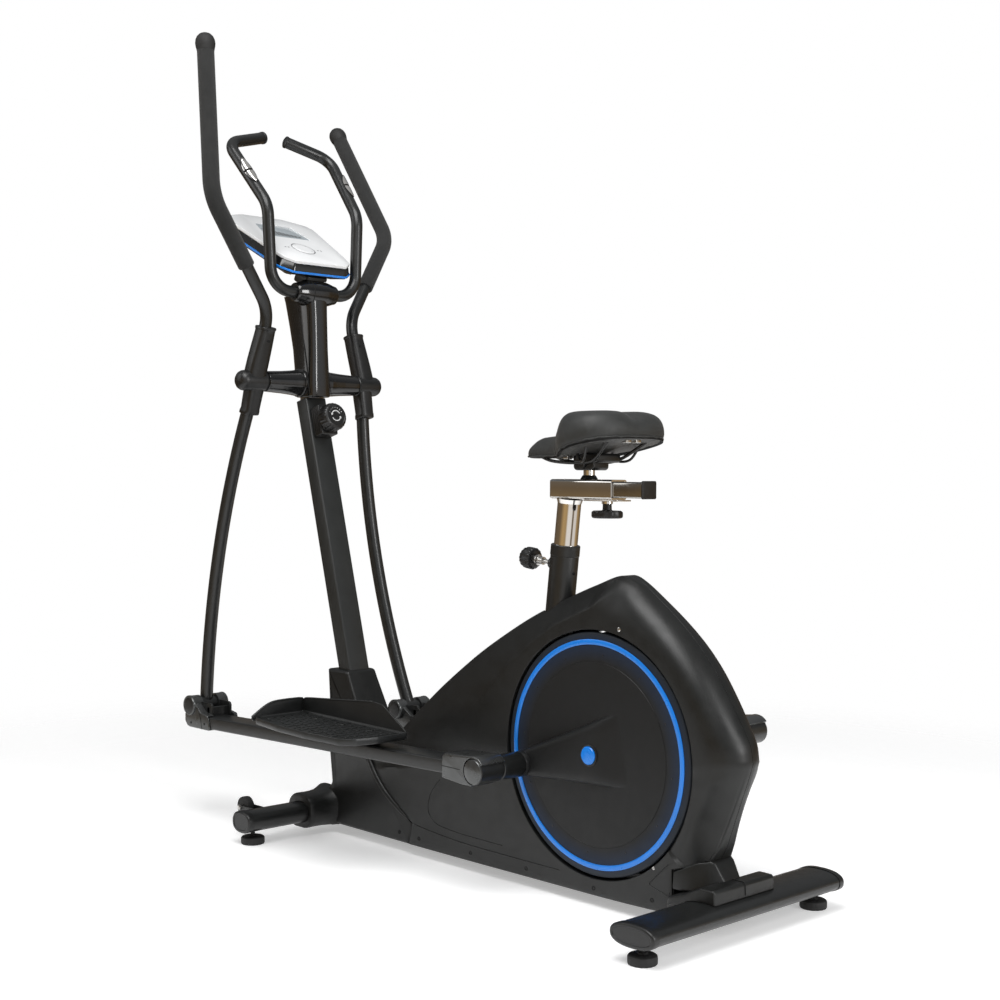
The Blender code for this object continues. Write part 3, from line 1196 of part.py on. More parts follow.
def main():
    clear_scene()
    make_collections()
    make_base_frame()
    make_stabilisers()
    make_end_caps()
    make_feet()
    make_wheels()
    make_mast()
    make_neck_cover()
    make_axle_covers()
    make_tension_knob()
    make_handlebar()
    make_clamp()
    make_pulse_sensors()
    make_console()
    for label, side in SIDES:
        make_arm(label, side)
        make_rail(label, side)
        make_side_shell(label, side)
    make_cranks()
    make_flywheel()
    make_belt()
    make_brake()
    make_front_cover()
    make_rear_skirt()
    make_seat_post()
    make_slider()
    make_saddle()
    make_seat_knobs()
    move_to_origin()


main()
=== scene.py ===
"""Looks for the elliptical trainer: fine mouldings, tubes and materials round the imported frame.

Shapes are made in the part's own terms: y is measured from the crank axis, z from the floor, and
a piece on an arm, rail, crank, mast, seat tube or console is made in that part's own frame.
"""
import math

import bmesh
import bpy
from mathutils import Matrix, Vector
from mathutils.bvhtree import BVHTree


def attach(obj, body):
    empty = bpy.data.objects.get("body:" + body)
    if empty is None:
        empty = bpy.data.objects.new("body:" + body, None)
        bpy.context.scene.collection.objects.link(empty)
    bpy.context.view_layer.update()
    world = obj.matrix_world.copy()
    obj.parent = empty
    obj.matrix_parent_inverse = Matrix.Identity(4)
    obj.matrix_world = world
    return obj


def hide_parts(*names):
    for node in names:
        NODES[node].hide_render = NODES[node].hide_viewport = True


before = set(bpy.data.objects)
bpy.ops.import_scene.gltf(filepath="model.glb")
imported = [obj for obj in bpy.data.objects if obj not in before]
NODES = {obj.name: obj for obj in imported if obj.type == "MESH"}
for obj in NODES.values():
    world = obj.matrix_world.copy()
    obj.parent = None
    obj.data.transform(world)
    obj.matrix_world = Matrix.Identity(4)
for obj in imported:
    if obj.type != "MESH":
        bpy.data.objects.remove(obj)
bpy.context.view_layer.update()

# ---- places, as in the CAD -------------------------------------------------------------
CRANK_Y, CRANK_Z, CRANK_RADIUS, CRANK_ANGLE = 0.480, 0.291, 0.180, 12.6
PIVOT_Y, PIVOT_Z, ARM_LENGTH, RAIL_LENGTH = -0.975, 1.029, 0.784, 0.983
ARM_X, ARM_TOP_X, ARM_BOW = 0.167, 0.155, 0.042
ARM_RADIUS, HANDLE_RADIUS, GRIP_RADIUS = 0.0150, 0.0140, 0.0190
BARREL_RADIUS, BARREL_IN, BARREL_OUT = 0.0238, 0.133, 0.207
REAR_Y, REAR_Z, REAR_HALF, REAR_DEPTH, REAR_HEIGHT = 0.285, 0.052, 0.277, 0.098, 0.040
FRONT_Y, FRONT_Z, FRONT_HALF, FRONT_DEPTH, FRONT_HEIGHT = -0.850, 0.051, 0.280, 0.064, 0.046
FOOT_X = 0.247
WHEEL_X, WHEEL_Y, WHEEL_Z, WHEEL_HALF = 0.226, -0.908, 0.070, 0.0095
BEAM_HALF, BEAM_Z = 0.020, 0.055
MAST_LEAN, MAST_TOP_Y, MAST_TOP_Z = 15.1, -0.973, 0.990
BAR_RADIUS, BAR_Y, BAR_Z = 0.0138, -0.962, 1.240
CONSOLE_TILT, CONSOLE_Y, CONSOLE_Z = 29.0, -0.930, 1.308
BUTTON_RADIUS, BUTTON_V = 0.0285, 0.086
RAIL_IN, RAIL_OUT, RAIL_HEIGHT, RAIL_DROP = 0.150, 0.210, 0.028, 0.034
SLEEVE_RADIUS = 0.0255
DISC_RADIUS, DISC_CLEARANCE, SIDE_X = 0.232, 0.0045, 0.060
SEAT_LEAN, SEAT_TOP_Y, SEAT_TOP_Z = 6.5, -0.137, 0.680
CARRIAGE_FRONT, CARRIAGE_REAR, CARRIAGE_BOTTOM, CARRIAGE_TOP = -0.163, 0.003, 0.773, 0.8115
STEM_Y, SADDLE_BOTTOM, BAR_END = -0.075, 0.846, 0.080
PIN_ALONG = -0.040
SIDES = (("left", 1), ("right", -1))


# ---- frames ----------------------------------------------------------------------------
def turn_x(degrees):
    return Matrix.Rotation(math.radians(degrees), 4, "X")


def at(x, y, z):
    return Matrix.Translation((x, y, z))


WORLD = at(0, CRANK_Y, 0)


def flip(side):
    return Matrix.Diagonal((side, 1, 1, 1))


def crank_pin(side):
    angle = math.radians(CRANK_ANGLE)
    return -side * CRANK_RADIUS * math.cos(angle), CRANK_Z - side * CRANK_RADIUS * math.sin(angle)


def arm_angle(side):
    pin_y, pin_z = crank_pin(side)
    dy, dz = pin_y - PIVOT_Y, pin_z - PIVOT_Z
    reach = math.hypot(dy, dz)
    share = (reach ** 2 + ARM_LENGTH ** 2 - RAIL_LENGTH ** 2) / (2 * reach * ARM_LENGTH)
    return math.degrees(math.atan2(dy, -dz) - math.acos(share))


def lower_pivot(side):
    angle = math.radians(arm_angle(side))
    return PIVOT_Y + ARM_LENGTH * math.sin(angle), PIVOT_Z - ARM_LENGTH * math.cos(angle)


def rail_angle(side):
    (pin_y, pin_z), (low_y, low_z) = crank_pin(side), lower_pivot(side)
    return math.degrees(math.atan2(pin_z - low_z, pin_y - low_y))


def arm_frame(side):
    return WORLD @ at(0, PIVOT_Y, PIVOT_Z) @ turn_x(arm_angle(side)) @ flip(side)


def rail_frame(side):
    return WORLD @ at(0, *lower_pivot(side)) @ turn_x(rail_angle(side)) @ flip(side)


def crank_frame(side):
    return (WORLD @ at(0, 0, CRANK_Z) @ turn_x(CRANK_ANGLE) @ turn_x(0 if side > 0 else 180)
            @ flip(side))


CONSOLE = WORLD @ at(0, CONSOLE_Y, CONSOLE_Z) @ turn_x(-CONSOLE_TILT)
SEAT = WORLD @ at(0, SEAT_TOP_Y, SEAT_TOP_Z) @ turn_x(-SEAT_LEAN)
MAST = WORLD @ at(0, MAST_TOP_Y, MAST_TOP_Z) @ turn_x(MAST_LEAN)


# ---- materials -------------------------------------------------------------------------
def finish(name, colour, rough, metal=0.0, grain=0.0, grain_size=900.0, smudge=0.05, mottle=0.12,
           pattern="noise", coat=0.0, specular=0.5, sheen=0.0, second=None):
    """A procedural finish: colour mottled at a large scale, roughness at a middle one, and a fine
    bump whose grain is noise, leather cells or turned rings."""
    mat = bpy.data.materials.new(name)
    mat.use_nodes = True
    tree = mat.node_tree
    shader = tree.nodes["Principled BSDF"]
    shader.inputs["Metallic"].default_value = metal
    shader.inputs["Specular IOR Level"].default_value = specular
    shader.inputs["Coat Weight"].default_value = coat
    shader.inputs["Coat Roughness"].default_value = 0.08
    shader.inputs["Sheen Weight"].default_value = sheen
    shader.inputs["Sheen Roughness"].default_value = 0.5
    place = tree.nodes.new("ShaderNodeTexCoord").outputs["Object"]

    def noise(scale, detail):
        node = tree.nodes.new("ShaderNodeTexNoise")
        node.inputs["Scale"].default_value = scale
        node.inputs["Detail"].default_value = detail
        tree.links.new(place, node.inputs["Vector"])
        return node.outputs["Fac"]

    def ramp(source, low, high, start=0.3, end=0.7):
        node = tree.nodes.new("ShaderNodeValToRGB")
        node.color_ramp.elements[0].position, node.color_ramp.elements[1].position = start, end
        node.color_ramp.elements[0].color = (*low, 1)
        node.color_ramp.elements[1].color = (*high, 1)
        tree.links.new(source, node.inputs["Fac"])
        return node.outputs["Color"]

    dark = tuple(c * (1 - mottle) for c in colour)
    light = second or tuple(c * (1 + mottle) for c in colour)
    tree.links.new(ramp(noise(14.0, 4.0), dark, light), shader.inputs["Base Color"])
    low, high = max(0.02, rough - smudge), min(1.0, rough + smudge)
    tree.links.new(ramp(noise(38.0, 6.0), (low,) * 3, (high,) * 3), shader.inputs["Roughness"])
    if grain:
        if pattern == "leather":
            cells = tree.nodes.new("ShaderNodeTexVoronoi")
            cells.feature = "DISTANCE_TO_EDGE"
            cells.inputs["Scale"].default_value = grain_size
            tree.links.new(place, cells.inputs["Vector"])
            height = ramp(cells.outputs["Distance"], (0, 0, 0), (1, 1, 1), 0.0, 0.25)
        elif pattern == "cells":
            cells = tree.nodes.new("ShaderNodeTexVoronoi")
            cells.inputs["Scale"].default_value = grain_size
            tree.links.new(place, cells.inputs["Vector"])
            height = cells.outputs["Distance"]
        else:
            height = noise(grain_size, 3.0)
        bump = tree.nodes.new("ShaderNodeBump")
        bump.inputs["Strength"].default_value = grain
        bump.inputs["Distance"].default_value = 0.0006
        tree.links.new(height, bump.inputs["Height"])
        tree.links.new(bump.outputs["Normal"], shader.inputs["Normal"])
    return mat


def painted_glow_disc_finish():
    """The disc's matt black with a painted navy glow from the lit ring, graded by distance from the crank
    axis.
    """
    mat = finish("disc_plastic_painted_glow", (0.0075, 0.0078, 0.0080), 0.50, specular=0.3, grain=0.12, grain_size=1400)
    tree = mat.node_tree
    shader = tree.nodes["Principled BSDF"]
    coord = tree.nodes.new("ShaderNodeTexCoord")
    shift = tree.nodes.new("ShaderNodeVectorMath")
    shift.operation = "SUBTRACT"
    shift.inputs[1].default_value = (0, CRANK_Y, CRANK_Z)
    flat = tree.nodes.new("ShaderNodeVectorMath")
    flat.operation = "MULTIPLY"
    flat.inputs[1].default_value = (0, 1, 1)
    length = tree.nodes.new("ShaderNodeVectorMath")
    length.operation = "LENGTH"
    tree.links.new(coord.outputs["Object"], shift.inputs[0])
    tree.links.new(shift.outputs[0], flat.inputs[0])
    tree.links.new(flat.outputs[0], length.inputs[0])
    # Painted glow: navy stops around the blue ring's radius stand in for its light falling on the disc.
    ramp = tree.nodes.new("ShaderNodeValToRGB")
    stops = ramp.color_ramp.elements
    stops[0].position, stops[0].color = 0.178, (0.0075, 0.0078, 0.0080, 1)
    stops[1].position, stops[1].color = 0.206, (0.005, 0.014, 0.036, 1)
    for position, colour in ((0.222, (0.006, 0.013, 0.028, 1)), (0.230, (0.009, 0.013, 0.019, 1))):
        stop = stops.new(position)
        stop.color = colour
    tree.links.new(length.outputs["Value"], ramp.inputs["Fac"])
    tree.links.new(ramp.outputs["Color"], shader.inputs["Base Color"])
    return mat


STEEL = finish("powder_coat", (0.0088, 0.0094, 0.0093), 0.34, grain=0.16, grain_size=1300, coat=0.10)
TUBE_STEEL = finish("mast_coat", (0.0125, 0.0138, 0.0134), 0.42, grain=0.16, grain_size=1300)
SHELL = finish("shell_plastic", (0.0060, 0.0064, 0.0061), 0.40, grain=0.14, grain_size=1500,
               specular=0.42)
PLASTIC = finish("moulded_plastic", (0.0062, 0.0064, 0.0064), 0.36, grain=0.20, grain_size=1200)
PAN = finish("pan_plastic", (0.0022, 0.0024, 0.0024), 0.62, grain=0.2, grain_size=900, specular=0.25)
PEDAL = finish("pedal_plastic", (0.0110, 0.0118, 0.0118), 0.40, grain=0.22, grain_size=1000)
GLOSS = finish("gloss_black", (0.0055, 0.0056, 0.0058), 0.17, smudge=0.03, coat=0.35)
SILVER = finish("metallic_grey", (0.085, 0.088, 0.088), 0.30, metal=0.75, grain=0.05,
                grain_size=2200, coat=0.3)
CHROME = finish("chrome_plate", (0.78, 0.76, 0.73), 0.07, metal=1.0, smudge=0.025, mottle=0.04)
DARK_CHROME = finish("dark_chrome", (0.42, 0.41, 0.39), 0.12, metal=1.0, smudge=0.04, mottle=0.1)
BARE = finish("turned_steel", (0.34, 0.34, 0.35), 0.34, metal=1.0, grain=0.10, grain_size=600)
BOLT = finish("zinc_bolt", (0.55, 0.54, 0.52), 0.26, metal=1.0, grain=0.06, grain_size=900)
RUBBER = finish("rubber_foot", (0.0115, 0.0115, 0.0115), 0.70, grain=0.30, grain_size=700)
FOAM = finish("grip_foam", (0.0125, 0.0130, 0.0130), 0.86, grain=0.75, grain_size=1100,
              pattern="cells", sheen=0.12)
VINYL = finish("saddle_vinyl", (0.0150, 0.0162, 0.0155), 0.46, grain=0.32, grain_size=620,
               pattern="leather", sheen=0.06)
WHITE = finish("white_face", (0.80, 0.81, 0.82), 0.20, smudge=0.03, mottle=0.012, coat=0.3)
BLUE = finish("blue_trim", (0.002, 0.195, 0.72), 0.30, smudge=0.04, mottle=0.06, coat=0.2)
SCREEN = finish("display_glass", (0.42, 0.47, 0.50), 0.12, smudge=0.02, mottle=0.03, coat=0.5)
GREY = finish("grey_badge", (0.075, 0.080, 0.084), 0.34, grain=0.08, grain_size=1500)
PRINT = finish("pale_print", (0.55, 0.56, 0.56), 0.45, mottle=0.05, grain=0.05)
# Near-black: painted shade inside screw holes, slots and seam gaps, and also the real black of some screws
# and bolts.
HOLE_SHADE_AND_BLACK_SCREW = finish("hole_shade_and_screw_black", (0.0016, 0.0016, 0.0016), 0.85, grain=0.1)
DISC_PAINTED_GLOW = painted_glow_disc_finish()


# ---- mesh helpers ----------------------------------------------------------------------
def skin(rows, closed=False, caps=(True, True)):
    """Faces between rows of points; a row of one point is a pole."""
    bm = bmesh.new()
    loops = [[bm.verts.new(p) for p in row] for row in rows]
    pairs = list(zip(loops, loops[1:])) + ([(loops[-1], loops[0])] if closed else [])
    for a, b in pairs:
        count = max(len(a), len(b))
        for k in range(count):
            n = k + 1
            quad = [a[k % len(a)], a[n % len(a)], b[n % len(b)], b[k % len(b)]]
            ring = [v for i, v in enumerate(quad) if v not in quad[:i]]
            bm.faces.new(ring)
    if not closed:
        if caps[0] and len(loops[0]) > 2:
            bm.faces.new(list(reversed(loops[0])))
        if caps[1] and len(loops[-1]) > 2:
            bm.faces.new(loops[-1])
    bmesh.ops.recalc_face_normals(bm, faces=bm.faces)
    return bm


def moved(bm, matrix):
    bmesh.ops.transform(bm, matrix=matrix, verts=bm.verts)
    if matrix.determinant() < 0:
        bmesh.ops.reverse_faces(bm, faces=bm.faces)
    return bm


def aim(start, axis):
    return Matrix.Translation(start) @ Vector(axis).to_track_quat("Z", "Y").to_matrix().to_4x4()


def lathe(profile, start=(0, 0, 0), axis=(0, 0, 1), steps=64, soft=0.0, ring=False):
    """A turned piece: profile is a list of (radius, along), its corners softened."""
    if soft:
        points = rounded([(r, a, 0) for r, a in profile], soft, 4, closed=ring)
        profile = [(max(p[0], 0.0), p[1]) for p in points]
    rows = []
    for radius, along in profile:
        if radius < 1e-6:
            rows.append([(0, 0, along)])
        else:
            rows.append([(radius * math.cos(2 * math.pi * k / steps),
                          radius * math.sin(2 * math.pi * k / steps), along)
                         for k in range(steps)])
    return moved(skin(rows, closed=ring), aim(start, axis))


def rounded(points, radius, steps=4, closed=False):
    """Round each corner of a path with an arc; radius is one value or one a corner."""
    points = [Vector(p) for p in points]
    count = len(points)
    radii = radius if isinstance(radius, (list, tuple)) else [radius] * count
    result = []
    for i, corner in enumerate(points):
        if (not closed and i in (0, count - 1)) or radii[i] == 0:
            result.append(corner)
            continue
        back, ahead = points[i - 1] - corner, points[(i + 1) % count] - corner
        half = back.angle(ahead) / 2
        if half > math.radians(89):
            result.append(corner)
            continue
        reach = min(radii[i] / math.tan(half), 0.49 * back.length, 0.49 * ahead.length)
        first, last = corner + back.normalized() * reach, corner + ahead.normalized() * reach
        swing = math.pi - 2 * half
        centre = corner + (back.normalized() + ahead.normalized()).normalized() * (
            reach * math.tan(half) / math.sin(half))
        for k in range(steps + 1):
            share = k / steps
            result.append(centre + ((first - centre) * math.sin((1 - share) * swing)
                                    + (last - centre) * math.sin(share * swing)) / math.sin(swing))
    return result


def smooth_path(points, steps=6):
    """A Catmull-Rom curve through the points."""
    points = [Vector(p) for p in points]
    full = [2 * points[0] - points[1]] + points + [2 * points[-1] - points[-2]]
    result = []
    for a, b, c, d in zip(full, full[1:], full[2:], full[3:]):
        for k in range(steps):
            t = k / steps
            result.append(0.5 * (2 * b + (c - a) * t + (2 * a - 5 * b + 4 * c - d) * t ** 2
                                 + (3 * b - a - 3 * c + d) * t ** 3))
    return result + [points[-1]]


def sweep(path, radius, sides=32, ends=0.0012, squash=1.0):
    """A round bar along a path with softened ends; radius is one value or one a point."""
    path = [Vector(p) for p in path]
    radii = radius if isinstance(radius, (list, tuple)) else [radius] * len(path)
    leads = [(b - a).normalized() for a, b in zip(path, path[1:])]
    leads = [leads[0]] + [(a + b).normalized() for a, b in zip(leads, leads[1:])] + [leads[-1]]
    side = leads[0].orthogonal().normalized()
    rows = []
    for i, (point, lead, size) in enumerate(zip(path, leads, radii)):
        side = (side - lead * side.dot(lead)).normalized()
        up = lead.cross(side)
        rims = [(point, size)]
        if i == 0 and ends:
            rims = [(point, size - ends), (point + lead * ends * 0.3, size - ends * 0.3),
                    (point + lead * ends, size)]
        elif i == len(path) - 1 and ends:
            rims = [(point - lead * ends, size), (point - lead * ends * 0.3, size - ends * 0.3),
                    (point, size - ends)]
        for centre, r in rims:
            rows.append([centre + (side * math.cos(2 * math.pi * k / sides)
                                   + up * math.sin(2 * math.pi * k / sides) * squash) * r
                         for k in range(sides)])
    return skin(rows)


def inset(outline, depth):
    """The outline moved inwards by depth."""
    count = len(outline)
    area = sum(outline[k - 1][0] * outline[k][1] - outline[k][0] * outline[k - 1][1]
               for k in range(count))
    turn = 1 if area > 0 else -1
    result = []
    for k in range(count):
        here = Vector(outline[k][:2])
        into = here - Vector(outline[k - 1][:2])
        out = Vector(outline[(k + 1) % count][:2]) - here
        first = Vector((-into.y, into.x)).normalized() * turn
        second = Vector((-out.y, out.x)).normalized() * turn
        middle = (first + second).normalized()
        result.append(here + middle * depth / max(0.45, middle.dot(first)))
    return result


PLANES = {"YZ": Matrix(((0, 0, 1, 0), (1, 0, 0, 0), (0, 1, 0, 0), (0, 0, 0, 1))),
          "XZ": Matrix(((1, 0, 0, 0), (0, 0, 1, 0), (0, 1, 0, 0), (0, 0, 0, 1))),
          "XY": Matrix.Identity(4)}


def prism(outline, low, high, plane="YZ", bevel=0.002, corner=0.0, steps=3):
    """An outline extruded from low to high across its plane, with softened edges."""
    if corner:
        outline = [tuple(p)[:2] for p in rounded([(a, b, 0) for a, b in outline], corner, 4,
                                                 closed=True)]
    low, high = min(low, high), max(low, high)
    rows = []
    for k in range(steps + 1):
        angle = math.radians(90 * k / steps)
        ring = inset(outline, bevel * (1 - math.sin(angle))) if bevel else outline
        rows.append([(p[0], p[1], low + bevel * (1 - math.cos(angle))) for p in ring])
    for k in range(steps + 1):
        angle = math.radians(90 * (1 - k / steps))
        ring = inset(outline, bevel * (1 - math.sin(angle))) if bevel else outline
        rows.append([(p[0], p[1], high - bevel * (1 - math.cos(angle))) for p in ring])
    return moved(skin(rows), PLANES[plane])


def block(low, high, corner=0.003, bevel=0.002, plane="YZ"):
    """A box with rounded edges, from its low corner to its high one."""
    index = {"YZ": (1, 2, 0), "XZ": (0, 2, 1), "XY": (0, 1, 2)}[plane]
    a, b, c = index
    outline = [(low[a], low[b]), (high[a], low[b]), (high[a], high[b]), (low[a], high[b])]
    return prism(outline, low[c], high[c], plane, bevel, corner)


def rod(start, end, radius, bevel=0.001, steps=40):
    start, end = Vector(start), Vector(end)
    length = (end - start).length
    profile = [(0, 0), (radius - bevel, 0), (radius - bevel * 0.3, bevel * 0.3), (radius, bevel),
               (radius, length - bevel), (radius - bevel * 0.3, length - bevel * 0.3),
               (radius - bevel, length), (0, length)]
    return lathe(profile, start, end - start, steps)


def oval(depth, height, power=2.4, count=72, centre=(0, 0)):
    points = []
    for k in range(count):
        angle = 2 * math.pi * k / count
        c, s = math.cos(angle), math.sin(angle)
        points.append((centre[0] + math.copysign(abs(c) ** (2 / power), c) * depth / 2,
                       centre[1] + math.copysign(abs(s) ** (2 / power), s) * height / 2))
    return points


def circle(radius, centre=(0, 0), count=48, start=0.0, sweep_by=360.0):
    last = count if sweep_by == 360.0 else count + 1
    return [(centre[0] + radius * math.cos(math.radians(start + sweep_by * k / count)),
             centre[1] + radius * math.sin(math.radians(start + sweep_by * k / count)))
            for k in range(last)]


def apply_modifiers(obj):
    """Put the object's modifiers into its mesh."""
    bpy.context.view_layer.update()
    obj.data = bpy.data.meshes.new_from_object(
        obj.evaluated_get(bpy.context.evaluated_depsgraph_get()))
    obj.modifiers.clear()


def carve(bm, *cutters):
    """bm less the cutters."""
    target = loose_object("carve_target", bm)
    for k, cutter in enumerate(cutters):
        other = loose_object(f"carve_cutter_{k}", cutter)
        mod = target.modifiers.new("cut", "BOOLEAN")
        mod.operation, mod.solver, mod.object = "DIFFERENCE", "EXACT", other
    cutters = [mod.object for mod in target.modifiers]
    apply_modifiers(target)
    result = bmesh.new()
    result.from_mesh(target.data)
    bmesh.ops.remove_doubles(result, verts=result.verts, dist=0.00002)
    for obj in cutters + [target]:
        bpy.data.objects.remove(obj, do_unlink=True)
    return result


def loose_object(name, bm):
    mesh = bpy.data.meshes.new(name)
    bm.to_mesh(mesh)
    bm.free()
    obj = bpy.data.objects.new(name, mesh)
    bpy.context.scene.collection.objects.link(obj)
    return obj


def piece(name, parts, matrix, body, mat, *stands_for, smooth=34):
    """One shown piece made of parts, placed by matrix, riding on a body."""
    whole = bmesh.new()
    for part in parts if isinstance(parts, (list, tuple)) else [parts]:
        mesh = bpy.data.meshes.new("part")
        moved(part, matrix).to_mesh(mesh)
        part.free()
        whole.from_mesh(mesh)
        bpy.data.meshes.remove(mesh)
    obj = loose_object(name, whole)
    obj.data.materials.append(mat)
    obj.data.shade_smooth()
    obj.data.set_sharp_from_angle(angle=math.radians(smooth))
    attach(obj, body)
    if stands_for:
        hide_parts(*stands_for)
    return obj


def screw_head(centre, axis, radius=0.0032):
    """A pan head with its cross recess."""
    head = lathe([(0, 0.0018), (radius * 0.7, 0.0016), (radius, 0.0008), (radius, -0.001),
                  (0, -0.001)], centre, axis, 24)
    slots = [moved(block((-radius * 0.62, -0.00035, 0.0008), (radius * 0.62, 0.00035, 0.004), 0, 0,
                         "XY"), aim(centre, axis) @ Matrix.Rotation(a, 4, "Z"))
             for a in (0, math.pi / 2)]
    return carve(head, *slots)


def button_plug(centre, axis, radius, height=0.0015):
    """A low domed cap."""
    return lathe([(0, height), (radius * 0.5, height * 0.93), (radius * 0.85, height * 0.6),
                  (radius, 0.0), (radius, -0.001), (0, -0.001)], centre, axis, 40)


# ---- base ------------------------------------------------------------------------------
def stabiliser(end, half, centre, depth, height):
    rows = [[(x, y, z) for y, z in oval(depth, height, centre=centre)]
            for x in (-half + 0.016, half - 0.016)]
    parts = [skin(rows)]
    if end == "front":
        for _, side in SIDES:
            for edge in (-1, 1):
                x = side * WHEEL_X + edge * (WHEEL_HALF + 0.0035)
                cheek = [(WHEEL_Y - 0.008, WHEEL_Z - 0.010), (WHEEL_Y - 0.008, WHEEL_Z + 0.004),
                         (FRONT_Y - 0.006, WHEEL_Z + 0.004), (FRONT_Y - 0.012, WHEEL_Z - 0.018)]
                parts.append(prism(cheek, x - 0.0015, x + 0.0015, "YZ", 0.0005, 0.005))
    piece(f"{end}_stabiliser_bar", parts, WORLD, "frame", STEEL, f"{end}_stabiliser_tube")
    for label, side in SIDES:
        y, z = centre
        rim = oval(depth + 0.002, height + 0.002, centre=centre)
        rows = []
        for x, shrink in ((half - 0.0155, 0), (half - 0.004, 0), (half - 0.0018, 0.0007),
                          (half - 0.0004, 0.0022), (half, 0.004)):
            rows.append([(x, p[0], p[1]) for p in inset(rim, shrink)])
        inner = [inset(rim, d) for d in (0.0062, 0.0075, 0.0088)]
        rows += [[(half, p[0], p[1]) for p in inner[0]], [(half - 0.0012, p[0], p[1]) for p in inner[1]],
                 [(half - 0.0012, p[0], p[1]) for p in inner[2]]]
        piece(f"{end}_{label}_cap_moulding", skin(rows), WORLD @ flip(side), "frame", PLASTIC,
              f"{end}_{label}_end_cap")


def make_feet():
    for end, y, top in (("front", FRONT_Y, FRONT_Z - FRONT_HEIGHT / 2 - 0.0004),
                        ("rear", REAR_Y, REAR_Z - REAR_HEIGHT / 2 - 0.0004)):
        for label, side in SIDES:
            ribs = []
            for k in range(48):
                ribs.append(0.0260 - (0.0006 if k % 3 == 0 else 0.0))
            heights = [(0.0240, 0.0), (0.0252, 0.0006), (0.0260, 0.0026), (0.0260, 0.0125),
                       (0.0252, 0.0150), (0.0225, 0.0168), (0.0120, 0.0172)]
            rows = []
            for radius, z in heights:
                rows.append([(radius * (ribs[k] / 0.026) * math.cos(math.pi * k / 24),
                              radius * (ribs[k] / 0.026) * math.sin(math.pi * k / 24), z)
                             for k in range(48)])
            pad = skin(rows)
            parts = [pad, lathe([(0, top), (0.0048, top), (0.0048, 0.0165), (0, 0.0165)], soft=0.0003),
                     lathe([(0, 0.0205), (0.0085, 0.0205), (0.0095, 0.0195), (0.0095, 0.017), (0, 0.017)],
                           steps=6)]
            piece(f"{end}_{label}_foot_pad", parts, WORLD @ at(side * FOOT_X, y, 0),
                  f"{end}_{label}_foot", RUBBER, f"{end}_{label}_foot")


def make_wheels():
    for label, side in SIDES:
        tyre = lathe([(0.0070, 0.0085), (0.0180, 0.0095), (0.0212, 0.0080), (0.0220, 0.0050),
                      (0.0220, -0.0050), (0.0212, -0.0080), (0.0180, -0.0095), (0.0070, -0.0085),
                      (0.0042, -0.0085), (0.0042, 0.0085)], axis=(1, 0, 0), ring=True)
        place = WORLD @ at(side * WHEEL_X, WHEEL_Y, WHEEL_Z)
        piece(f"{label}_wheel_tyre", tyre, place, f"{label}_wheel", RUBBER,
              f"{label}_transport_wheel")
        bolt = [rod((-0.0175, 0, 0), (0.0175, 0, 0), 0.0034, 0.0004, 24),
                lathe([(0, 0.0205), (0.0040, 0.0205), (0.0062, 0.0190), (0.0062, 0.0148), (0, 0.0148)],
                      axis=(1, 0, 0), steps=6),
                lathe([(0, 0.0195), (0.0060, 0.0195), (0.0062, 0.0190), (0.0062, 0.0148), (0, 0.0148)],
                      axis=(-1, 0, 0), steps=6)]
        piece(f"{label}_wheel_bolt", bolt, place, "frame", BOLT)


def make_base_frame():
    beam_low, beam_top = BEAM_Z - 0.020, BEAM_Z + 0.020
    beam = block((-BEAM_HALF, FRONT_Y + FRONT_DEPTH / 2 + 0.0004, beam_low),
                 (BEAM_HALF, REAR_Y - REAR_DEPTH / 2 - 0.0004, beam_top), 0.003, 0.001, "XZ")
    foot = block((-0.028, -0.782, beam_top - 0.002), (0.028, -0.692, beam_top + 0.005), 0.004, 0.001,
                 "XY")
    strut = block((-0.0175, -0.190, CRANK_Z - 0.021), (0.0175, 0.0, CRANK_Z + 0.021), 0.003, 0.001,
                  "XZ")
    shell = rod((-0.040, 0, CRANK_Z), (0.027, 0, CRANK_Z), 0.024)
    lugs = [block((x - 0.002, -0.420, beam_top - 0.002), (x + 0.002, -0.380, 0.223), 0.006, 0.0005)
            for x in (-0.0165, 0.0165)]
    piece("main_beam", [beam, foot, strut, shell] + lugs, WORLD, "frame", STEEL, "base_frame")
    low = -(SEAT_TOP_Z - beam_top) / math.cos(math.radians(SEAT_LEAN))
    tube = lathe([(0.0240, 0.0), (0.0285, 0.0), (0.0285, low), (0.0240, low)], soft=0.0012, ring=True,
                 steps=72)
    collar = lathe([(0.0285, -0.0200), (0.0293, -0.0193), (0.0293, 0.0004), (0.0280, 0.0016),
                    (0.0240, 0.0016), (0.0240, -0.0200)], ring=True, steps=72)
    boss = lathe([(0.0060, 0.0270), (0.0115, 0.0270), (0.0115, 0.0345), (0.0100, 0.0360),
                  (0.0060, 0.0360)], (0, 0, PIN_ALONG), (0, -1, 0), 40, ring=True)
    piece("seat_tube", [tube, collar, boss], SEAT, "frame", STEEL)
    piece("seat_tube_screw", screw_head((0, 0.0290, -0.052), (0, 1, 0), 0.0030), SEAT, "frame",
          HOLE_SHADE_AND_BLACK_SCREW)


# ---- mast, neck and console ------------------------------------------------------------
def make_mast():
    length = (MAST_TOP_Z - 0.0806) / math.cos(math.radians(MAST_LEAN)) - 0.004
    tube = block((-0.030, -0.020, -length), (0.030, 0.020, 0.0), 0.0055, 0.001, "XY")
    piece("mast_tube", tube, MAST, "frame", TUBE_STEEL, "mast")
    post = block((-0.018, PIVOT_Y - 0.018, MAST_TOP_Z - 0.03), (0.018, PIVOT_Y + 0.018, 1.2096),
                 0.003, 0.001, "XY")
    tube = rod((-0.048, PIVOT_Y, PIVOT_Z), (0.048, PIVOT_Y, PIVOT_Z), 0.022)
    axle = rod((-0.197, PIVOT_Y, PIVOT_Z), (0.197, PIVOT_Y, PIVOT_Z), 0.0085)
    piece("pivot_axle", [post, tube, axle], WORLD, "frame", BARE)


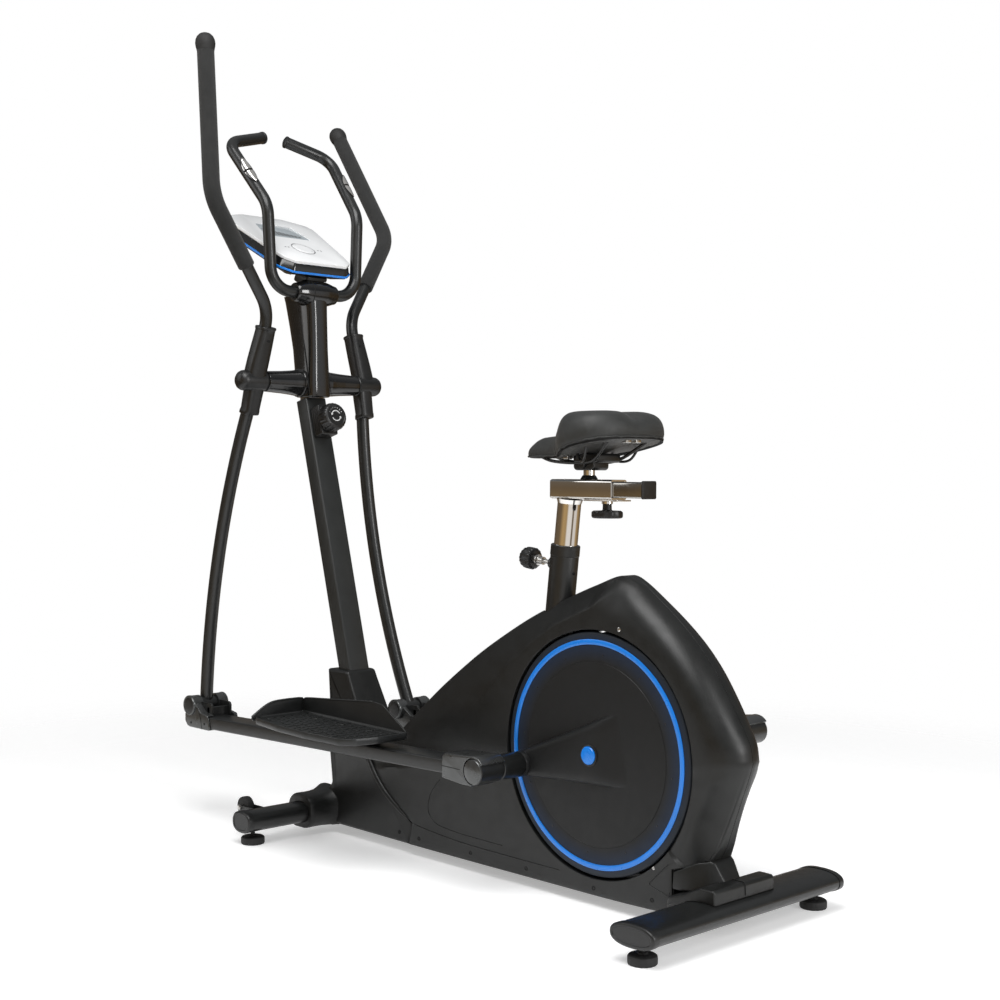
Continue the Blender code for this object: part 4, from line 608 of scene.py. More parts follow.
def neck_ring(z, front, rear, half, power=3.4, count=56):
    """One level of the neck cover: flat sides, rounded corners and a crowned rear."""
    middle, deep = (front + rear) / 2, (rear - front) / 2
    ring = []
    for k in range(count):
        angle = 2 * math.pi * k / count
        c, s = math.cos(angle), math.sin(angle)
        x = math.copysign(abs(c) ** (2 / power), c) * half
        y = math.copysign(abs(s) ** (2 / power), s) * deep
        ring.append((x, middle + y, z))
    return ring


def make_neck():
    levels = [(0.996, -1.000, -0.930, 0.0295), (0.9975, -1.003, -0.9275, 0.0312),
              (1.000, -1.004, -0.9268, 0.0318), (1.030, -1.008, -0.928, 0.0316),
              (1.065, -1.012, -0.930, 0.0305), (1.110, -1.020, -0.932, 0.0295),
              (1.160, -1.033, -0.934, 0.0300), (1.200, -1.044, -0.936, 0.0312),
              (1.222, -1.050, -0.937, 0.0322), (1.236, -1.055, -0.938, 0.0330)]
    rows = [neck_ring(z, front, rear, half) for z, front, rear, half in levels]
    cover = skin(rows)
    clamp = rod((-0.09, BAR_Y, BAR_Z), (0.09, BAR_Y, BAR_Z), 0.0302)
    piece("neck_moulding", carve(cover, clamp), WORLD, "frame", GLOSS, "neck_cover", smooth=40)
    # Painted shade: near-black lines along the neck cover's seams stand in for the dark gaps.
    seam = smooth_path([(0.0311, -0.984, 1.216), (0.0296, -0.968, 1.150), (0.0306, -0.952, 1.080),
                        (0.0316, -0.936, 1.002)])
    piece("neck_seam_shade", [sweep(seam, 0.0009, 10), moved(sweep(seam, 0.0009, 10), flip(-1))], WORLD,
          "frame", HOLE_SHADE_AND_BLACK_SCREW)
    for label, side in SIDES:
        profile = [(0.0100, 0.1310), (0.0225, 0.1310), (0.0238, 0.1298), (0.0245, 0.1180),
                   (0.0262, 0.0850), (0.0288, 0.0560), (0.0305, 0.0445), (0.0305, 0.0330),
                   (0.0226, 0.0330), (0.0226, 0.0500), (0.0100, 0.0500)]
        cone = lathe(profile, (0, PIVOT_Y, PIVOT_Z), (side, 0, 0), 72, soft=0.0008, ring=True)
        collar = lathe([(0.0318, 0.0300), (0.0332, 0.0312), (0.0332, 0.0360), (0.0318, 0.0374),
                        (0.0300, 0.0374), (0.0300, 0.0300)], (0, PIVOT_Y, PIVOT_Z), (side, 0, 0), 72,
                       ring=True)
        piece(f"{label}_axle_cone", [cone, collar], WORLD, "frame", GLOSS, f"{label}_axle_cover")


def make_clamp():
    profile = [(0.0146, 0.0580), (0.0200, 0.0580), (0.0216, 0.0566), (0.0230, 0.0500),
               (0.0262, 0.0400), (0.0292, 0.0280), (0.0300, 0.0200), (0.0300, -0.0200),
               (0.0292, -0.0280), (0.0262, -0.0400), (0.0230, -0.0500), (0.0216, -0.0566),
               (0.0200, -0.0580), (0.0146, -0.0580)]
    body = lathe(profile, (0, BAR_Y, BAR_Z), (1, 0, 0), 72, ring=True)
    piece("clamp_moulding", body, WORLD, "frame", GLOSS, "handlebar_clamp", smooth=40)
    tilt = at(0, BAR_Y, BAR_Z) @ turn_x(38)
    plate = prism(oval(0.062, 0.030, 2.0), -0.0020, 0.0008, "XY", 0.0008)
    for vert in plate.verts:
        vert.co.z += math.sqrt(max(0.0, 0.0300 ** 2 - vert.co.y ** 2)) - 0.0006
        vert.co.z -= 2.2 * vert.co.x ** 2
    piece("clamp_badge", plate, WORLD @ tilt @ turn_x(-60), "frame", GREY)
    # Painted shade: a near-black ring in the clamp's seam gap.
    ring = lathe([(0.0302, -0.0009), (0.0302, 0.0009), (0.0290, 0.0009), (0.0290, -0.0009)],
                 (0.0195, BAR_Y, BAR_Z), (1, 0, 0), 64, ring=True)
    piece("clamp_seam_shade", ring, WORLD, "frame", HOLE_SHADE_AND_BLACK_SCREW)


HANDLEBAR = [(0.0, BAR_Y, BAR_Z), (0.122, BAR_Y, BAR_Z), (0.131, BAR_Y - 0.004, BAR_Z + 0.195),
             (0.150, -1.100, 1.592), (0.032, -1.125, 1.625)]


def make_handlebar():
    half = rounded(HANDLEBAR, [0, 0.055, 0.070, 0.045, 0], 12)
    full = [Vector((-p.x, p.y, p.z)) for p in reversed(half)] + half[1:]
    bar = sweep(full, BAR_RADIUS, 40)
    piece("handlebar_tube", bar, WORLD, "frame", STEEL, "fixed_handlebar")
    low, high = Vector(HANDLEBAR[2]), Vector(HANDLEBAR[3])
    along = (high - low).normalized()
    rear = (Vector((0, 1, 0)) - along * along.y).normalized()
    across = along.cross(rear)
    tip = (half[-1] - half[-2]).normalized()
    for label, side in SIDES:
        plug = [lathe([(0, 0.0030), (0.0095, 0.0022), (0.0128, 0.0004), (0.0134, -0.0020),
                       (0, -0.0020)], half[-1], tip, 40),
                lathe([(0.01385, 0.0), (0.0149, -0.001), (0.0149, -0.0045), (0.01385, -0.0055)],
                      half[-1], tip, 48, ring=True)]
        piece(f"{label}_handlebar_plug", plug, WORLD @ flip(side), "frame", PLASTIC)
        frame_at = Matrix.Translation(low) @ Matrix((rear, across, along)).transposed().to_4x4()
        parts, rims = [], []
        length = (high - low).length
        for first, last in ((0.30, 0.465), (0.495, 0.66)):
            for wide, skin_depth, grow, group in ((44, 0.0166, 0.0, parts), (50, 0.0158, 0.010, rims)):
                rows = []
                for k in range(17):
                    share = k / 16
                    z = length * (first - grow + (last - first + 2 * grow) * share)
                    away = share if first < 0.4 else 1 - share
                    half_wide = wide * (0.12 + 0.88 * math.sin(math.pi / 2 * away) ** 0.75)
                    row = []
                    for r, order in ((skin_depth, 1), (0.0134, -1)):
                        for n in range(25):
                            a = math.radians(order * half_wide * (n / 12 - 1) - 16)
                            dome = 0.0008 * (1 - (n / 12 - 1) ** 2) if order > 0 else 0
                            row.append(((r + dome) * math.cos(a), (r + dome) * math.sin(a), z))
                    rows.append(row)
                group.append(skin(rows))
        piece(f"{label}_pulse_plates", parts, WORLD @ flip(side) @ frame_at, "frame", CHROME,
              f"{label}_pulse_sensor")
        piece(f"{label}_pulse_rims", rims, WORLD @ flip(side) @ frame_at, "frame", PLASTIC)


def console_outline(grow=0.0):
    half = [(0.074, 0.0), (0.098, 0.022), (0.106, 0.060), (0.128, 0.235), (0.118, 0.258),
            (0.060, 0.284)]
    half = [(x + grow, v + grow * (1 if v > 0.14 else -1)) for x, v in half]
    points = half + [(-x, v) for x, v in reversed(half)]
    radii = [0.012, 0.02, 0.04, 0.012, 0.02, 0.02, 0.02, 0.02, 0.012, 0.04, 0.02, 0.012]
    return [(p[0], -p[1]) for p in rounded([(a, b, 0) for a, b in points], radii, 5, closed=True)]


def make_console():
    face = prism(inset(console_outline(), 0.0010), -0.0076, 0.0, "XY", 0.0014)
    window = prism([(-0.068, -0.152), (0.068, -0.152), (0.052, -0.231), (-0.052, -0.231)], -0.0012,
                   0.004, "XY", 0, 0.006)
    hole = rod((0, -BUTTON_V, -0.02), (0, -BUTTON_V, 0.02), BUTTON_RADIUS + 0.0008, 0, 72)
    piece("display_face", carve(face, window, hole), CONSOLE, "frame", WHITE, "console_face")
    glass = prism([(-0.067, -0.153), (0.067, -0.153), (0.051, -0.230), (-0.051, -0.230)], -0.003,
                  -0.0008, "XY", 0.0003, 0.006)
    piece("display_screen", glass, CONSOLE, "frame", SCREEN)
    bars = [prism([(-0.045 + 0.010 * k, -0.164), (-0.038 + 0.010 * k, -0.164),
                   (-0.038 + 0.010 * k, -0.168 - 0.0032 * (k + 1)),
                   (-0.045 + 0.010 * k, -0.168 - 0.0032 * (k + 1))], -0.0009, -0.00055, "XY", 0.0001)
            for k in range(10)]
    bars.append(prism([(-0.050, -0.1592), (0.056, -0.1592), (0.056, -0.1600), (-0.050, -0.1600)],
                      -0.0009, -0.00055, "XY", 0.0001))
    piece("display_bars", bars, CONSOLE, "frame", GREY)
    cap = lathe([(0, 0.0013), (0.0150, 0.0014), (0.0245, 0.0016), (0.0272, 0.0010),
                 (0.0284, -0.0004), (0.0284, -0.0056), (0, -0.0056)], (0, -BUTTON_V, 0), steps=72)
    piece("round_button", cap, CONSOLE, "console_button", WHITE, "console_button")
    ring = lathe([(0.0302, -0.0002), (0.0302, 0.0005), (0.0287, 0.0005), (0.0287, -0.0002)],
                 (0, -BUTTON_V, 0), steps=72, ring=True)
    marks = []
    for x in (-0.052, -0.043, 0.043, 0.052):
        marks.append(prism(circle(0.0022, (x, -BUTTON_V), 20), -0.0002, 0.0004, "XY", 0.0001))
    for k in range(4):
        angle = math.radians(45 + 90 * k)
        x, y = 0.0215 * math.cos(angle), -BUTTON_V + 0.0215 * math.sin(angle)
        marks.append(prism(circle(0.0011, (x, y), 16), 0.0012, 0.0019, "XY", 0.0001))
    piece("display_marks", [ring] + marks[:4], CONSOLE, "frame", GREY)
    piece("button_marks", marks[4:], CONSOLE, "console_button", GREY)
    levels = [(-0.0078, 0.0030), (-0.0090, 0.0016), (-0.0250, -0.0052), (-0.0258, -0.0058)]
    rows = [[(p[0], p[1], z) for p in inset(console_outline(0.0), d)] for z, d in levels]
    piece("console_band", skin(rows), CONSOLE, "frame", GLOSS)
    stripe = [(-0.0240, -0.0060), (-0.0248, -0.0072), (-0.0282, -0.0072), (-0.0290, -0.0056)]
    rows = [[(p[0], p[1], z) for p in inset(console_outline(0.0), d)] for z, d in stripe]
    piece("console_stripe", skin(rows), CONSOLE, "frame", BLUE)
    levels = [(-0.0284, -0.0052), (-0.0320, -0.0030), (-0.0400, 0.0150), (-0.0460, 0.0300),
              (-0.0480, 0.0400)]
    rows = [[(p[0], p[1], z) for p in inset(console_outline(0.0), d)] for z, d in levels]
    neck = block((-0.030, -0.052, -0.066), (0.030, 0.002, -0.036), 0.008, 0.003, "XY")
    under = moved(rod((-0.09, BAR_Y, BAR_Z), (0.09, BAR_Y, BAR_Z), 0.0308),
                  (WORLD.inverted() @ CONSOLE).inverted())
    piece("console_underside", [skin(rows), carve(neck, under)], CONSOLE, "frame", PLASTIC,
          "console_back_shell")


def make_tension_knob():
    face_z = (0.930 - MAST_TOP_Z) / math.cos(math.radians(MAST_LEAN))
    housing = [block((-0.0235, 0.0204, face_z - 0.036), (0.0235, 0.052, face_z + 0.036), 0.004, 0.003,
                     "XZ"),
               block((-0.0205, 0.050, face_z - 0.026), (0.0205, 0.0562, face_z + 0.030), 0.006, 0.002,
                     "XZ")]
    ribs = [block((0.0225, 0.026 + 0.007 * k, face_z - 0.028), (0.0247, 0.029 + 0.007 * k,
                                                                 face_z + 0.028), 0.001, 0.0005)
            for k in range(4)]
    ribs += [moved(block((0.0225, 0.026 + 0.007 * k, face_z - 0.028),
                         (0.0247, 0.029 + 0.007 * k, face_z + 0.028), 0.001, 0.0005), flip(-1))
             for k in range(4)]
    piece("dial_housing", housing + ribs, MAST, "frame", PLASTIC, "tension_knob_housing")
    rows, count = [], 120
    for radius, along, rib in ((0.0120, 0.0010, 0), (0.0310, 0.0018, 0), (0.0322, 0.0030, 1),
                               (0.0325, 0.0160, 1), (0.0318, 0.0215, 0.7), (0.0295, 0.0258, 0.2),
                               (0.0262, 0.0276, 0), (0.0240, 0.0280, 0), (0.0232, 0.0272, 0),
                               (0.0100, 0.0272, 0)):
        rows.append([((radius + 0.0007 * rib * math.cos(24 * 2 * math.pi * k / count))
                      * math.cos(2 * math.pi * k / count),
                      (radius + 0.0007 * rib * math.cos(24 * 2 * math.pi * k / count))
                      * math.sin(2 * math.pi * k / count), along) for k in range(count)])
    dial_at = MAST @ aim((0, 0.0568, face_z), (0, 1, 0))
    piece("load_dial", skin(rows), dial_at, "tension_knob", PLASTIC, "tension_knob")
    marks = []
    for start, swing in ((25, 130), (205, 130)):
        outer, inner = circle(0.0132, (0, 0), 20, start, swing), circle(0.0108, (0, 0), 20, start,
                                                                        swing)
        marks.append(prism(outer + inner[::-1], 0.0270, 0.0275, "XY", 0.0001))
        angle = math.radians(start + swing)
        centre = Vector((0.0120 * math.cos(angle), 0.0120 * math.sin(angle)))
        lead = Vector((-math.sin(angle), math.cos(angle)))
        out = Vector((math.cos(angle), math.sin(angle)))
        tri = [centre + out * 0.0034, centre - out * 0.0034, centre + lead * 0.0052]
        marks.append(prism([tuple(p) for p in tri], 0.0270, 0.0275, "XY", 0.0001))
    marks += [prism(circle(0.0006 + 0.00011 * k, (0.0195 * math.cos(math.radians(150 - 20 * k)),
                                                  0.0195 * math.sin(math.radians(150 - 20 * k))), 16),
                    0.0270, 0.0275, "XY", 0.0001) for k in range(7)]
    piece("load_dial_marks", marks, dial_at, "tension_knob", PRINT)


# ---- arms ------------------------------------------------------------------------------
HANDLE = [(0.1535, -0.003, 0.036), (0.148, -0.002, 0.165), (0.322, -0.024, 0.400),
          (0.311, -0.147, 0.722)]
GRIP_START = 0.39


def arm_line(share):
    return Vector((ARM_TOP_X + (ARM_X - ARM_TOP_X) * share, -4 * ARM_BOW * share * (1 - share),
                   -ARM_LENGTH * share))


def boot(levels, power=3.0, count=48):
    """A moulded boot: (z, middle x, middle y, half wide, half deep) at each level."""
    rows = []
    for z, x, y, wide, deep in levels:
        ring = []
        for k in range(count):
            angle = 2 * math.pi * k / count
            c, s = math.cos(angle), math.sin(angle)
            ring.append((x + math.copysign(abs(c) ** (2 / power), c) * wide,
                         y + math.copysign(abs(s) ** (2 / power), s) * deep, z))
        rows.append(ring)
    return skin(rows)


def make_arm(label, side):
    place, body = arm_frame(side), f"{label}_arm"
    path = [arm_line(k / 40) for k in range(41)]
    tube = sweep(path, ARM_RADIUS, 40)
    sleeve = rod((BARREL_IN + 0.003, 0, 0), (BARREL_OUT - 0.008, 0, 0), 0.020)
    low = lathe([(0.0057, -0.0205), (0.0170, -0.0205), (0.0180, -0.0195), (0.0180, 0.0195),
                 (0.0170, 0.0205), (0.0057, 0.0205)], (ARM_X, 0, -ARM_LENGTH), (1, 0, 0), 48,
                ring=True)
    piece(f"{label}_swing_tube", [tube, sleeve, low], place, body, STEEL, f"{label}_arm_tube")

    line = rounded(HANDLE, [0, 0.10, 0.10, 0], 14)
    piece(f"{label}_handle_bar", sweep(line, HANDLE_RADIUS, 40), place, body, STEEL,
          f"{label}_handle_tube")
    corners = [Vector(p) for p in HANDLE]
    start = corners[1].lerp(corners[2], GRIP_START)
    line = rounded([start, corners[2], corners[3]], [0, 0.10, 0], 14)
    dense = []
    for a, b in zip(line, line[1:]):
        count = max(1, round((b - a).length / 0.012))
        dense += [a.lerp(b, k / count) for k in range(count)]
    dense.append(line[-1])
    grip = sweep(dense, GRIP_RADIUS, 40, ends=0.003)
    lead = (corners[3] - corners[2]).normalized()
    knob = lathe([(0, 0.0225), (0.0070, 0.0218), (0.0130, 0.0190), (0.0182, 0.0135),
                  (0.0212, 0.0065), (0.0222, -0.0010), (0.0214, -0.0085), (0.0200, -0.0140),
                  (0.0193, -0.0180), (0, -0.0180)], corners[3], lead, 56)
    piece(f"{label}_grip_sleeve", grip, place, body, FOAM, f"{label}_foam_grip")
    piece(f"{label}_grip_cap", knob, place, body, RUBBER)

    barrel = lathe([(0, BARREL_OUT), (0.0085, BARREL_OUT - 0.0006), (0.0150, BARREL_OUT - 0.0030),
                    (0.0200, BARREL_OUT - 0.0075), (0.0228, BARREL_OUT - 0.0130),
                    (BARREL_RADIUS, BARREL_OUT - 0.0200), (BARREL_RADIUS, BARREL_IN + 0.0016),
                    (BARREL_RADIUS - 0.0014, BARREL_IN), (0.0120, BARREL_IN)], axis=(1, 0, 0),
                   steps=72)
    upper = boot([(0.004, 0.1600, 0, 0.0235, 0.0212), (0.022, 0.1598, 0, 0.0240, 0.0205),
                  (0.050, 0.1570, 0, 0.0235, 0.0205), (0.085, 0.1530, 0, 0.0217, 0.0207),
                  (0.112, 0.1500, 0, 0.0200, 0.0207), (0.1195, 0.1493, 0, 0.0198, 0.0208),
                  (0.1205, 0.1492, 0, 0.0210, 0.0216), (0.1250, 0.1490, 0, 0.0212, 0.0218),
                  (0.1262, 0.1490, 0, 0.0202, 0.0208), (0.1262, 0.1490, 0, 0.0155, 0.0155)], 3.2)
    lower = boot([(-0.004, 0.1555, -0.002, 0.0205, 0.0205), (-0.030, 0.1558, -0.004, 0.0198, 0.0198),
                  (-0.066, 0.1563, -0.006, 0.0188, 0.0190), (-0.0705, 0.1564, -0.007, 0.0198, 0.0200),
                  (-0.0775, 0.1566, -0.008, 0.0198, 0.0200), (-0.0790, 0.1567, -0.008, 0.0186, 0.0188),
                  (-0.0790, 0.1567, -0.008, 0.0155, 0.0155)], 3.4)
    piece(f"{label}_pivot_moulding", [barrel, upper, lower], place, body, PLASTIC,
          f"{label}_pivot_cover", smooth=40)
    # Painted shade: a near-black ring in the pivot cover's seam gap.
    seam = lathe([(0.02415, -0.0006), (0.02415, 0.0006), (0.0230, 0.0006), (0.0230, -0.0006)],
                 (BARREL_IN + 0.0030, 0, 0), (1, 0, 0), 64, ring=True)
    piece(f"{label}_pivot_screw", [screw_head((0.1500, 0.0212, 0.096), (0, 1, 0), 0.0034)], place,
          body, HOLE_SHADE_AND_BLACK_SCREW)
    piece(f"{label}_pivot_seam_shade", seam, place, body, HOLE_SHADE_AND_BLACK_SCREW)


# ---- rails and pedals ------------------------------------------------------------------
RAIL_START, RAIL_END = 0.052, 0.971
SLOPE = math.atan2(RAIL_DROP, RAIL_END - RAIL_START)


def rail_height(y):
    return -RAIL_DROP + (y - RAIL_START) * math.tan(SLOPE)


def make_rail(label, side):
    place, body = rail_frame(side), f"{label}_rail"
    outline = [(RAIL_IN, -RAIL_HEIGHT / 2), (RAIL_OUT, -RAIL_HEIGHT / 2),
               (RAIL_OUT, RAIL_HEIGHT / 2), (RAIL_IN, RAIL_HEIGHT / 2)]
    section = rounded([(x, z, 0) for x, z in outline], 0.0040, 5, closed=True)
    rows = [[(p[0], y, rail_height(y) + p[1]) for p in section] for y in (RAIL_START, RAIL_END)]
    parts = [skin(rows)]
    parts.append(lathe([(0.0080, 0.0), (SLEEVE_RADIUS - 0.0015, 0.0), (SLEEVE_RADIUS, 0.0015),
                        (SLEEVE_RADIUS, 0.0600), (SLEEVE_RADIUS - 0.0015, 0.0615),
                        (0.0080, 0.0615)], (RAIL_IN + 0.0004, RAIL_LENGTH, 0), (1, 0, 0), 64,
                       ring=True))
    for offset in (-1, 1):
        x = ARM_X + offset * 0.0250
        parts.append(block((x - 0.0025, -0.012, -0.046), (x + 0.0025, 0.066, 0.010), 0.009, 0.0006))
    parts.append(block((ARM_X - 0.0275, 0.046, -0.046), (ARM_X + 0.0275, 0.056, 0.000), 0.001, 0.0006))
    parts.append(rod((ARM_X - 0.034, 0, 0), (ARM_X + 0.034, 0, 0), 0.0050))
    piece(f"{label}_rail_tube", parts, place, body, STEEL, f"{label}_rail")
    make_fork(label, place, body)
    make_rail_end(label, place, body)
    make_pedal(label, place, body)


def make_fork(label, place, body):
    bottom = -RAIL_DROP - RAIL_HEIGHT / 2 - 0.003
    outline = [(-0.0120, -0.006), (-0.0205, -0.022), (-0.0200, bottom + 0.012),
               (-0.010, bottom + 0.002), (0.0, bottom), (0.086, bottom + 0.001), (0.074, -0.016),
               (0.046, -0.012), (0.027, 0.002), (0.010, 0.014)]
    cover = prism(outline, 0.1290, 0.2130, "YZ", 0.0022, 0.006)
    slot = block((ARM_X - 0.0215, -0.04, -0.0236), (ARM_X + 0.0215, 0.0447, 0.05), 0, 0)
    cavity = block((ARM_X - 0.0280, -0.0130, -0.0466), (ARM_X + 0.0280, 0.12, 0.0106), 0, 0)
    rail = block((RAIL_IN - 0.0005, 0.0510, -0.0485), (RAIL_OUT + 0.0005, 0.12, -0.0170), 0, 0)
    bolt = rod((ARM_X - 0.0345, 0, 0), (ARM_X + 0.0345, 0, 0), 0.0056, 0)
    barrels = []
    for x, out in ((ARM_X - 0.0215, -1), (ARM_X + 0.0215, 1)):
        end = 0.119 if out < 0 else 0.217
        length = abs(end - x)
        barrels.append(lathe([(0.0060, 0.0), (0.0225, 0.0), (0.0225, length - 0.0080),
                              (0.0232, length - 0.0075), (0.0234, length - 0.0020),
                              (0.0222, length - 0.0003), (0.0200, length), (0.0192, length - 0.0010),
                              (0, length - 0.0010)], (x, 0, 0), (out, 0, 0), 64))
    piece(f"{label}_fork_moulding", [carve(cover, slot, cavity, rail, bolt)] + barrels, place, body,
          SILVER, f"{label}_fork_cover", smooth=38)
    caps = [button_plug((0.2161, 0, 0), (1, 0, 0), 0.0186, 0.0010),
            button_plug((0.1199, 0, 0), (-1, 0, 0), 0.0186, 0.0010)]
    piece(f"{label}_fork_caps", caps, place, body, PLASTIC)
    # Painted shade: near-black discs in the screw holes and a near-black line in the cover's seam.
    holes = [lathe([(0, 0.0004), (0.0030, 0.0004), (0.0030, -0.001), (0, -0.001)], (0.2130, y, z),
                   (1, 0, 0), 20) for y, z in ((0.006, -0.040), (0.062, -0.036))]
    piece(f"{label}_fork_screw_hole_shade", holes, place, body, HOLE_SHADE_AND_BLACK_SCREW)
    seam = smooth_path([(0.2132, 0.0300, 0.0008), (0.2132, 0.0420, -0.0150),
                        (0.2132, 0.0480, -0.0320), (0.2132, 0.0520, -0.0500)])
    piece(f"{label}_fork_seam_shade", sweep(seam, 0.0006, 8), place, body, HOLE_SHADE_AND_BLACK_SCREW)


def make_rail_end(label, place, body):
    front, end = RAIL_LENGTH - 0.088, RAIL_LENGTH
    radius = SLEEVE_RADIUS + 0.0045
    arc = circle(radius, (end, 0), 12, 35, 70)[::-1]
    lower = circle(radius, (end, 0), 8, -100, -38)
    outline = [(front, -0.0245), (front, 0.0180), (front + 0.008, 0.0245)] + arc + [
        (end + 0.0125, 0.004), (end - 0.002, -0.010)] + lower[:3] + [(end - 0.030, -0.0290)]
    cover = prism(outline, RAIL_IN - 0.0010, RAIL_OUT + 0.0024, "YZ", 0.0022, 0.0)
    sleeve = rod((0.10, end, 0), (0.25, end, 0), SLEEVE_RADIUS + 0.0006, 0, 64)
    slot = block((0.10, front - 0.02, -0.0205), (RAIL_OUT + 0.0006, end, 0.0175), 0, 0)
    piece(f"{label}_rail_end_moulding", carve(cover, sleeve, slot), place, body, SILVER,
          f"{label}_rail_end_cover", smooth=38)
    lens = lathe([(0, 0.0032), (0.0100, 0.0027), (0.0180, 0.0014), (0.0228, 0.0003),
                  (0.0240, -0.0012), (0.0240, -0.0020), (0, -0.0020)],
                 (RAIL_OUT + 0.0030, end, 0), (1, 0, 0), 72)
    piece(f"{label}_rail_end_lens", lens, place, body, SILVER)
    # Painted shade: a thin near-black strip in the cover's seam gap.
    seam = block((RAIL_IN + 0.001, front - 0.0004, -0.0016), (RAIL_OUT + 0.0028, front + 0.052,
                                                             -0.0004), 0.0002, 0.0001)
    piece(f"{label}_rail_end_seam_shade", seam, place, body, HOLE_SHADE_AND_BLACK_SCREW)


def make_pedal(label, place, body):
    y0, z0, long = 0.360, 0.026, 0.360
    y1 = y0 + long
    plan = [(0.150, y0), (0.270, y0), (0.292, y0 + 0.020), (0.308, y0 + 0.120),
            (0.312, y0 + 0.220), (0.304, y1 - 0.035), (0.280, y1 - 0.010), (0.230, y1), (0.150, y1)]
    radii = [0.004, 0.020, 0.020, 0.08, 0.08, 0.020, 0.020, 0.030, 0.006]
    rim = [tuple(p)[:2] for p in rounded([(x, y, 0) for x, y in plan], radii, 6, closed=True)]
    levels = [(0.0060, z0 - 0.0100), (0.0035, z0 - 0.0097), (0.0012, z0 - 0.0080),
              (0.0000, z0 - 0.0050), (0.0000, z0 + 0.0035), (0.0008, z0 + 0.0050),
              (0.0022, z0 + 0.0052), (0.0030, z0 + 0.0045), (0.0046, z0 + 0.0008),
              (0.0066, z0 + 0.0000)]
    tray = skin([[(p[0], p[1], z) for p in inset(rim, d)] for d, z in levels])
    wall = [(y0 + 0.001, z0 - 0.006), (y0 + 0.001, z0 + 0.024), (y0 + 0.012, z0 + 0.032),
            (y0 + 0.110, z0 + 0.041), (y0 + 0.250, z0 + 0.0545), (y0 + 0.278, z0 + 0.0525),
            (y1 - 0.006, z0 + 0.007), (y1 - 0.001, z0 - 0.006)]
    inner_wall = prism(wall, 0.1490, 0.1526, "YZ", 0.0009, 0.014)
    front = [(0.1492, z0 - 0.006), (0.1492, z0 + 0.0305), (0.160, z0 + 0.0325), (0.228, z0 + 0.0315),
             (0.256, z0 + 0.0225), (0.290, z0 + 0.0015), (0.286, z0 - 0.006)]
    front_wall = prism(front, y0 - 0.0004, y0 + 0.0034, "XZ", 0.0009, 0.010)
    lip = sweep(smooth_path([(0.1508, y0 + 0.004, z0 + 0.0285), (0.1508, y0 + 0.020, z0 + 0.0330),
                             (0.1508, y0 + 0.110, z0 + 0.0412), (0.1508, y0 + 0.245, z0 + 0.0540)]),
                0.0024, 14)
    front_lip = sweep(smooth_path([(0.1515, y0 + 0.0016, z0 + 0.0305), (0.170, y0 + 0.0016,
                                                                      z0 + 0.0324),
                                   (0.228, y0 + 0.0016, z0 + 0.0314), (0.256, y0 + 0.0016, z0 + 0.0224),
                                   (0.288, y0 + 0.0016, z0 + 0.0030)]), 0.0024, 14)
    blocks = []
    for row in range(13):
        for column in range(6):
            x = 0.166 + 0.0228 * column + (0.0114 if row % 2 else 0.0)
            y = y0 + 0.026 + 0.0250 * row
            edge = 0.262 + 0.040 * min(1.0, (y - y0) / 0.12) - 0.5 * max(0.0, y - (y1 - 0.075))
            if x + 0.009 > edge:
                continue
            long_way = row % 2 == 0
            dx, dy = (0.0088, 0.0052) if long_way else (0.0052, 0.0088)
            blocks.append(block((x - dx, y - dy, z0 - 0.0006), (x + dx, y + dy, z0 + 0.0016), 0.0012,
                                0.0006, "XY"))
    pads = []
    for share in (0.30, 0.72):
        middle = y0 + long * share
        under = rail_height(middle) + RAIL_HEIGHT / 2 + 0.0004
        pads.append(block((RAIL_IN + 0.006, middle - 0.020, under), (RAIL_OUT - 0.006, middle + 0.020,
                                                                   z0 - 0.005), 0.002, 0.0005, "XY"))
    ribs = [block((0.154 + 0.026 * k, y0 + 0.012, z0 - 0.0145), (0.1565 + 0.026 * k, y1 - 0.030,
                                                               z0 - 0.008), 0.001, 0.0004, "XY")
            for k in range(5) if k not in (0, 1, 2)]
    piece(f"{label}_pedal_tray", [tray, inner_wall, front_wall, lip, front_lip] + blocks + pads + ribs,
          place, body, PEDAL, f"{label}_pedal", smooth=38)
    bolts, holes = [], []
    for share in (0.24, 0.50, 0.76):
        y = y0 + long * share
        holes.append(lathe([(0.0048, 0.0022), (0.0076, 0.0022), (0.0080, 0.0016), (0.0080, -0.001),
                            (0.0048, -0.001)], (0.182, y, z0), steps=32, ring=True))
        bolts.append(lathe([(0, 0.0006), (0.0046, 0.0006), (0.0046, -0.001), (0, -0.001)],
                           (0.182, y, z0), steps=6))
    piece(f"{label}_pedal_washers", holes, place, body, PEDAL)
    piece(f"{label}_pedal_bolts", bolts, place, body, HOLE_SHADE_AND_BLACK_SCREW)


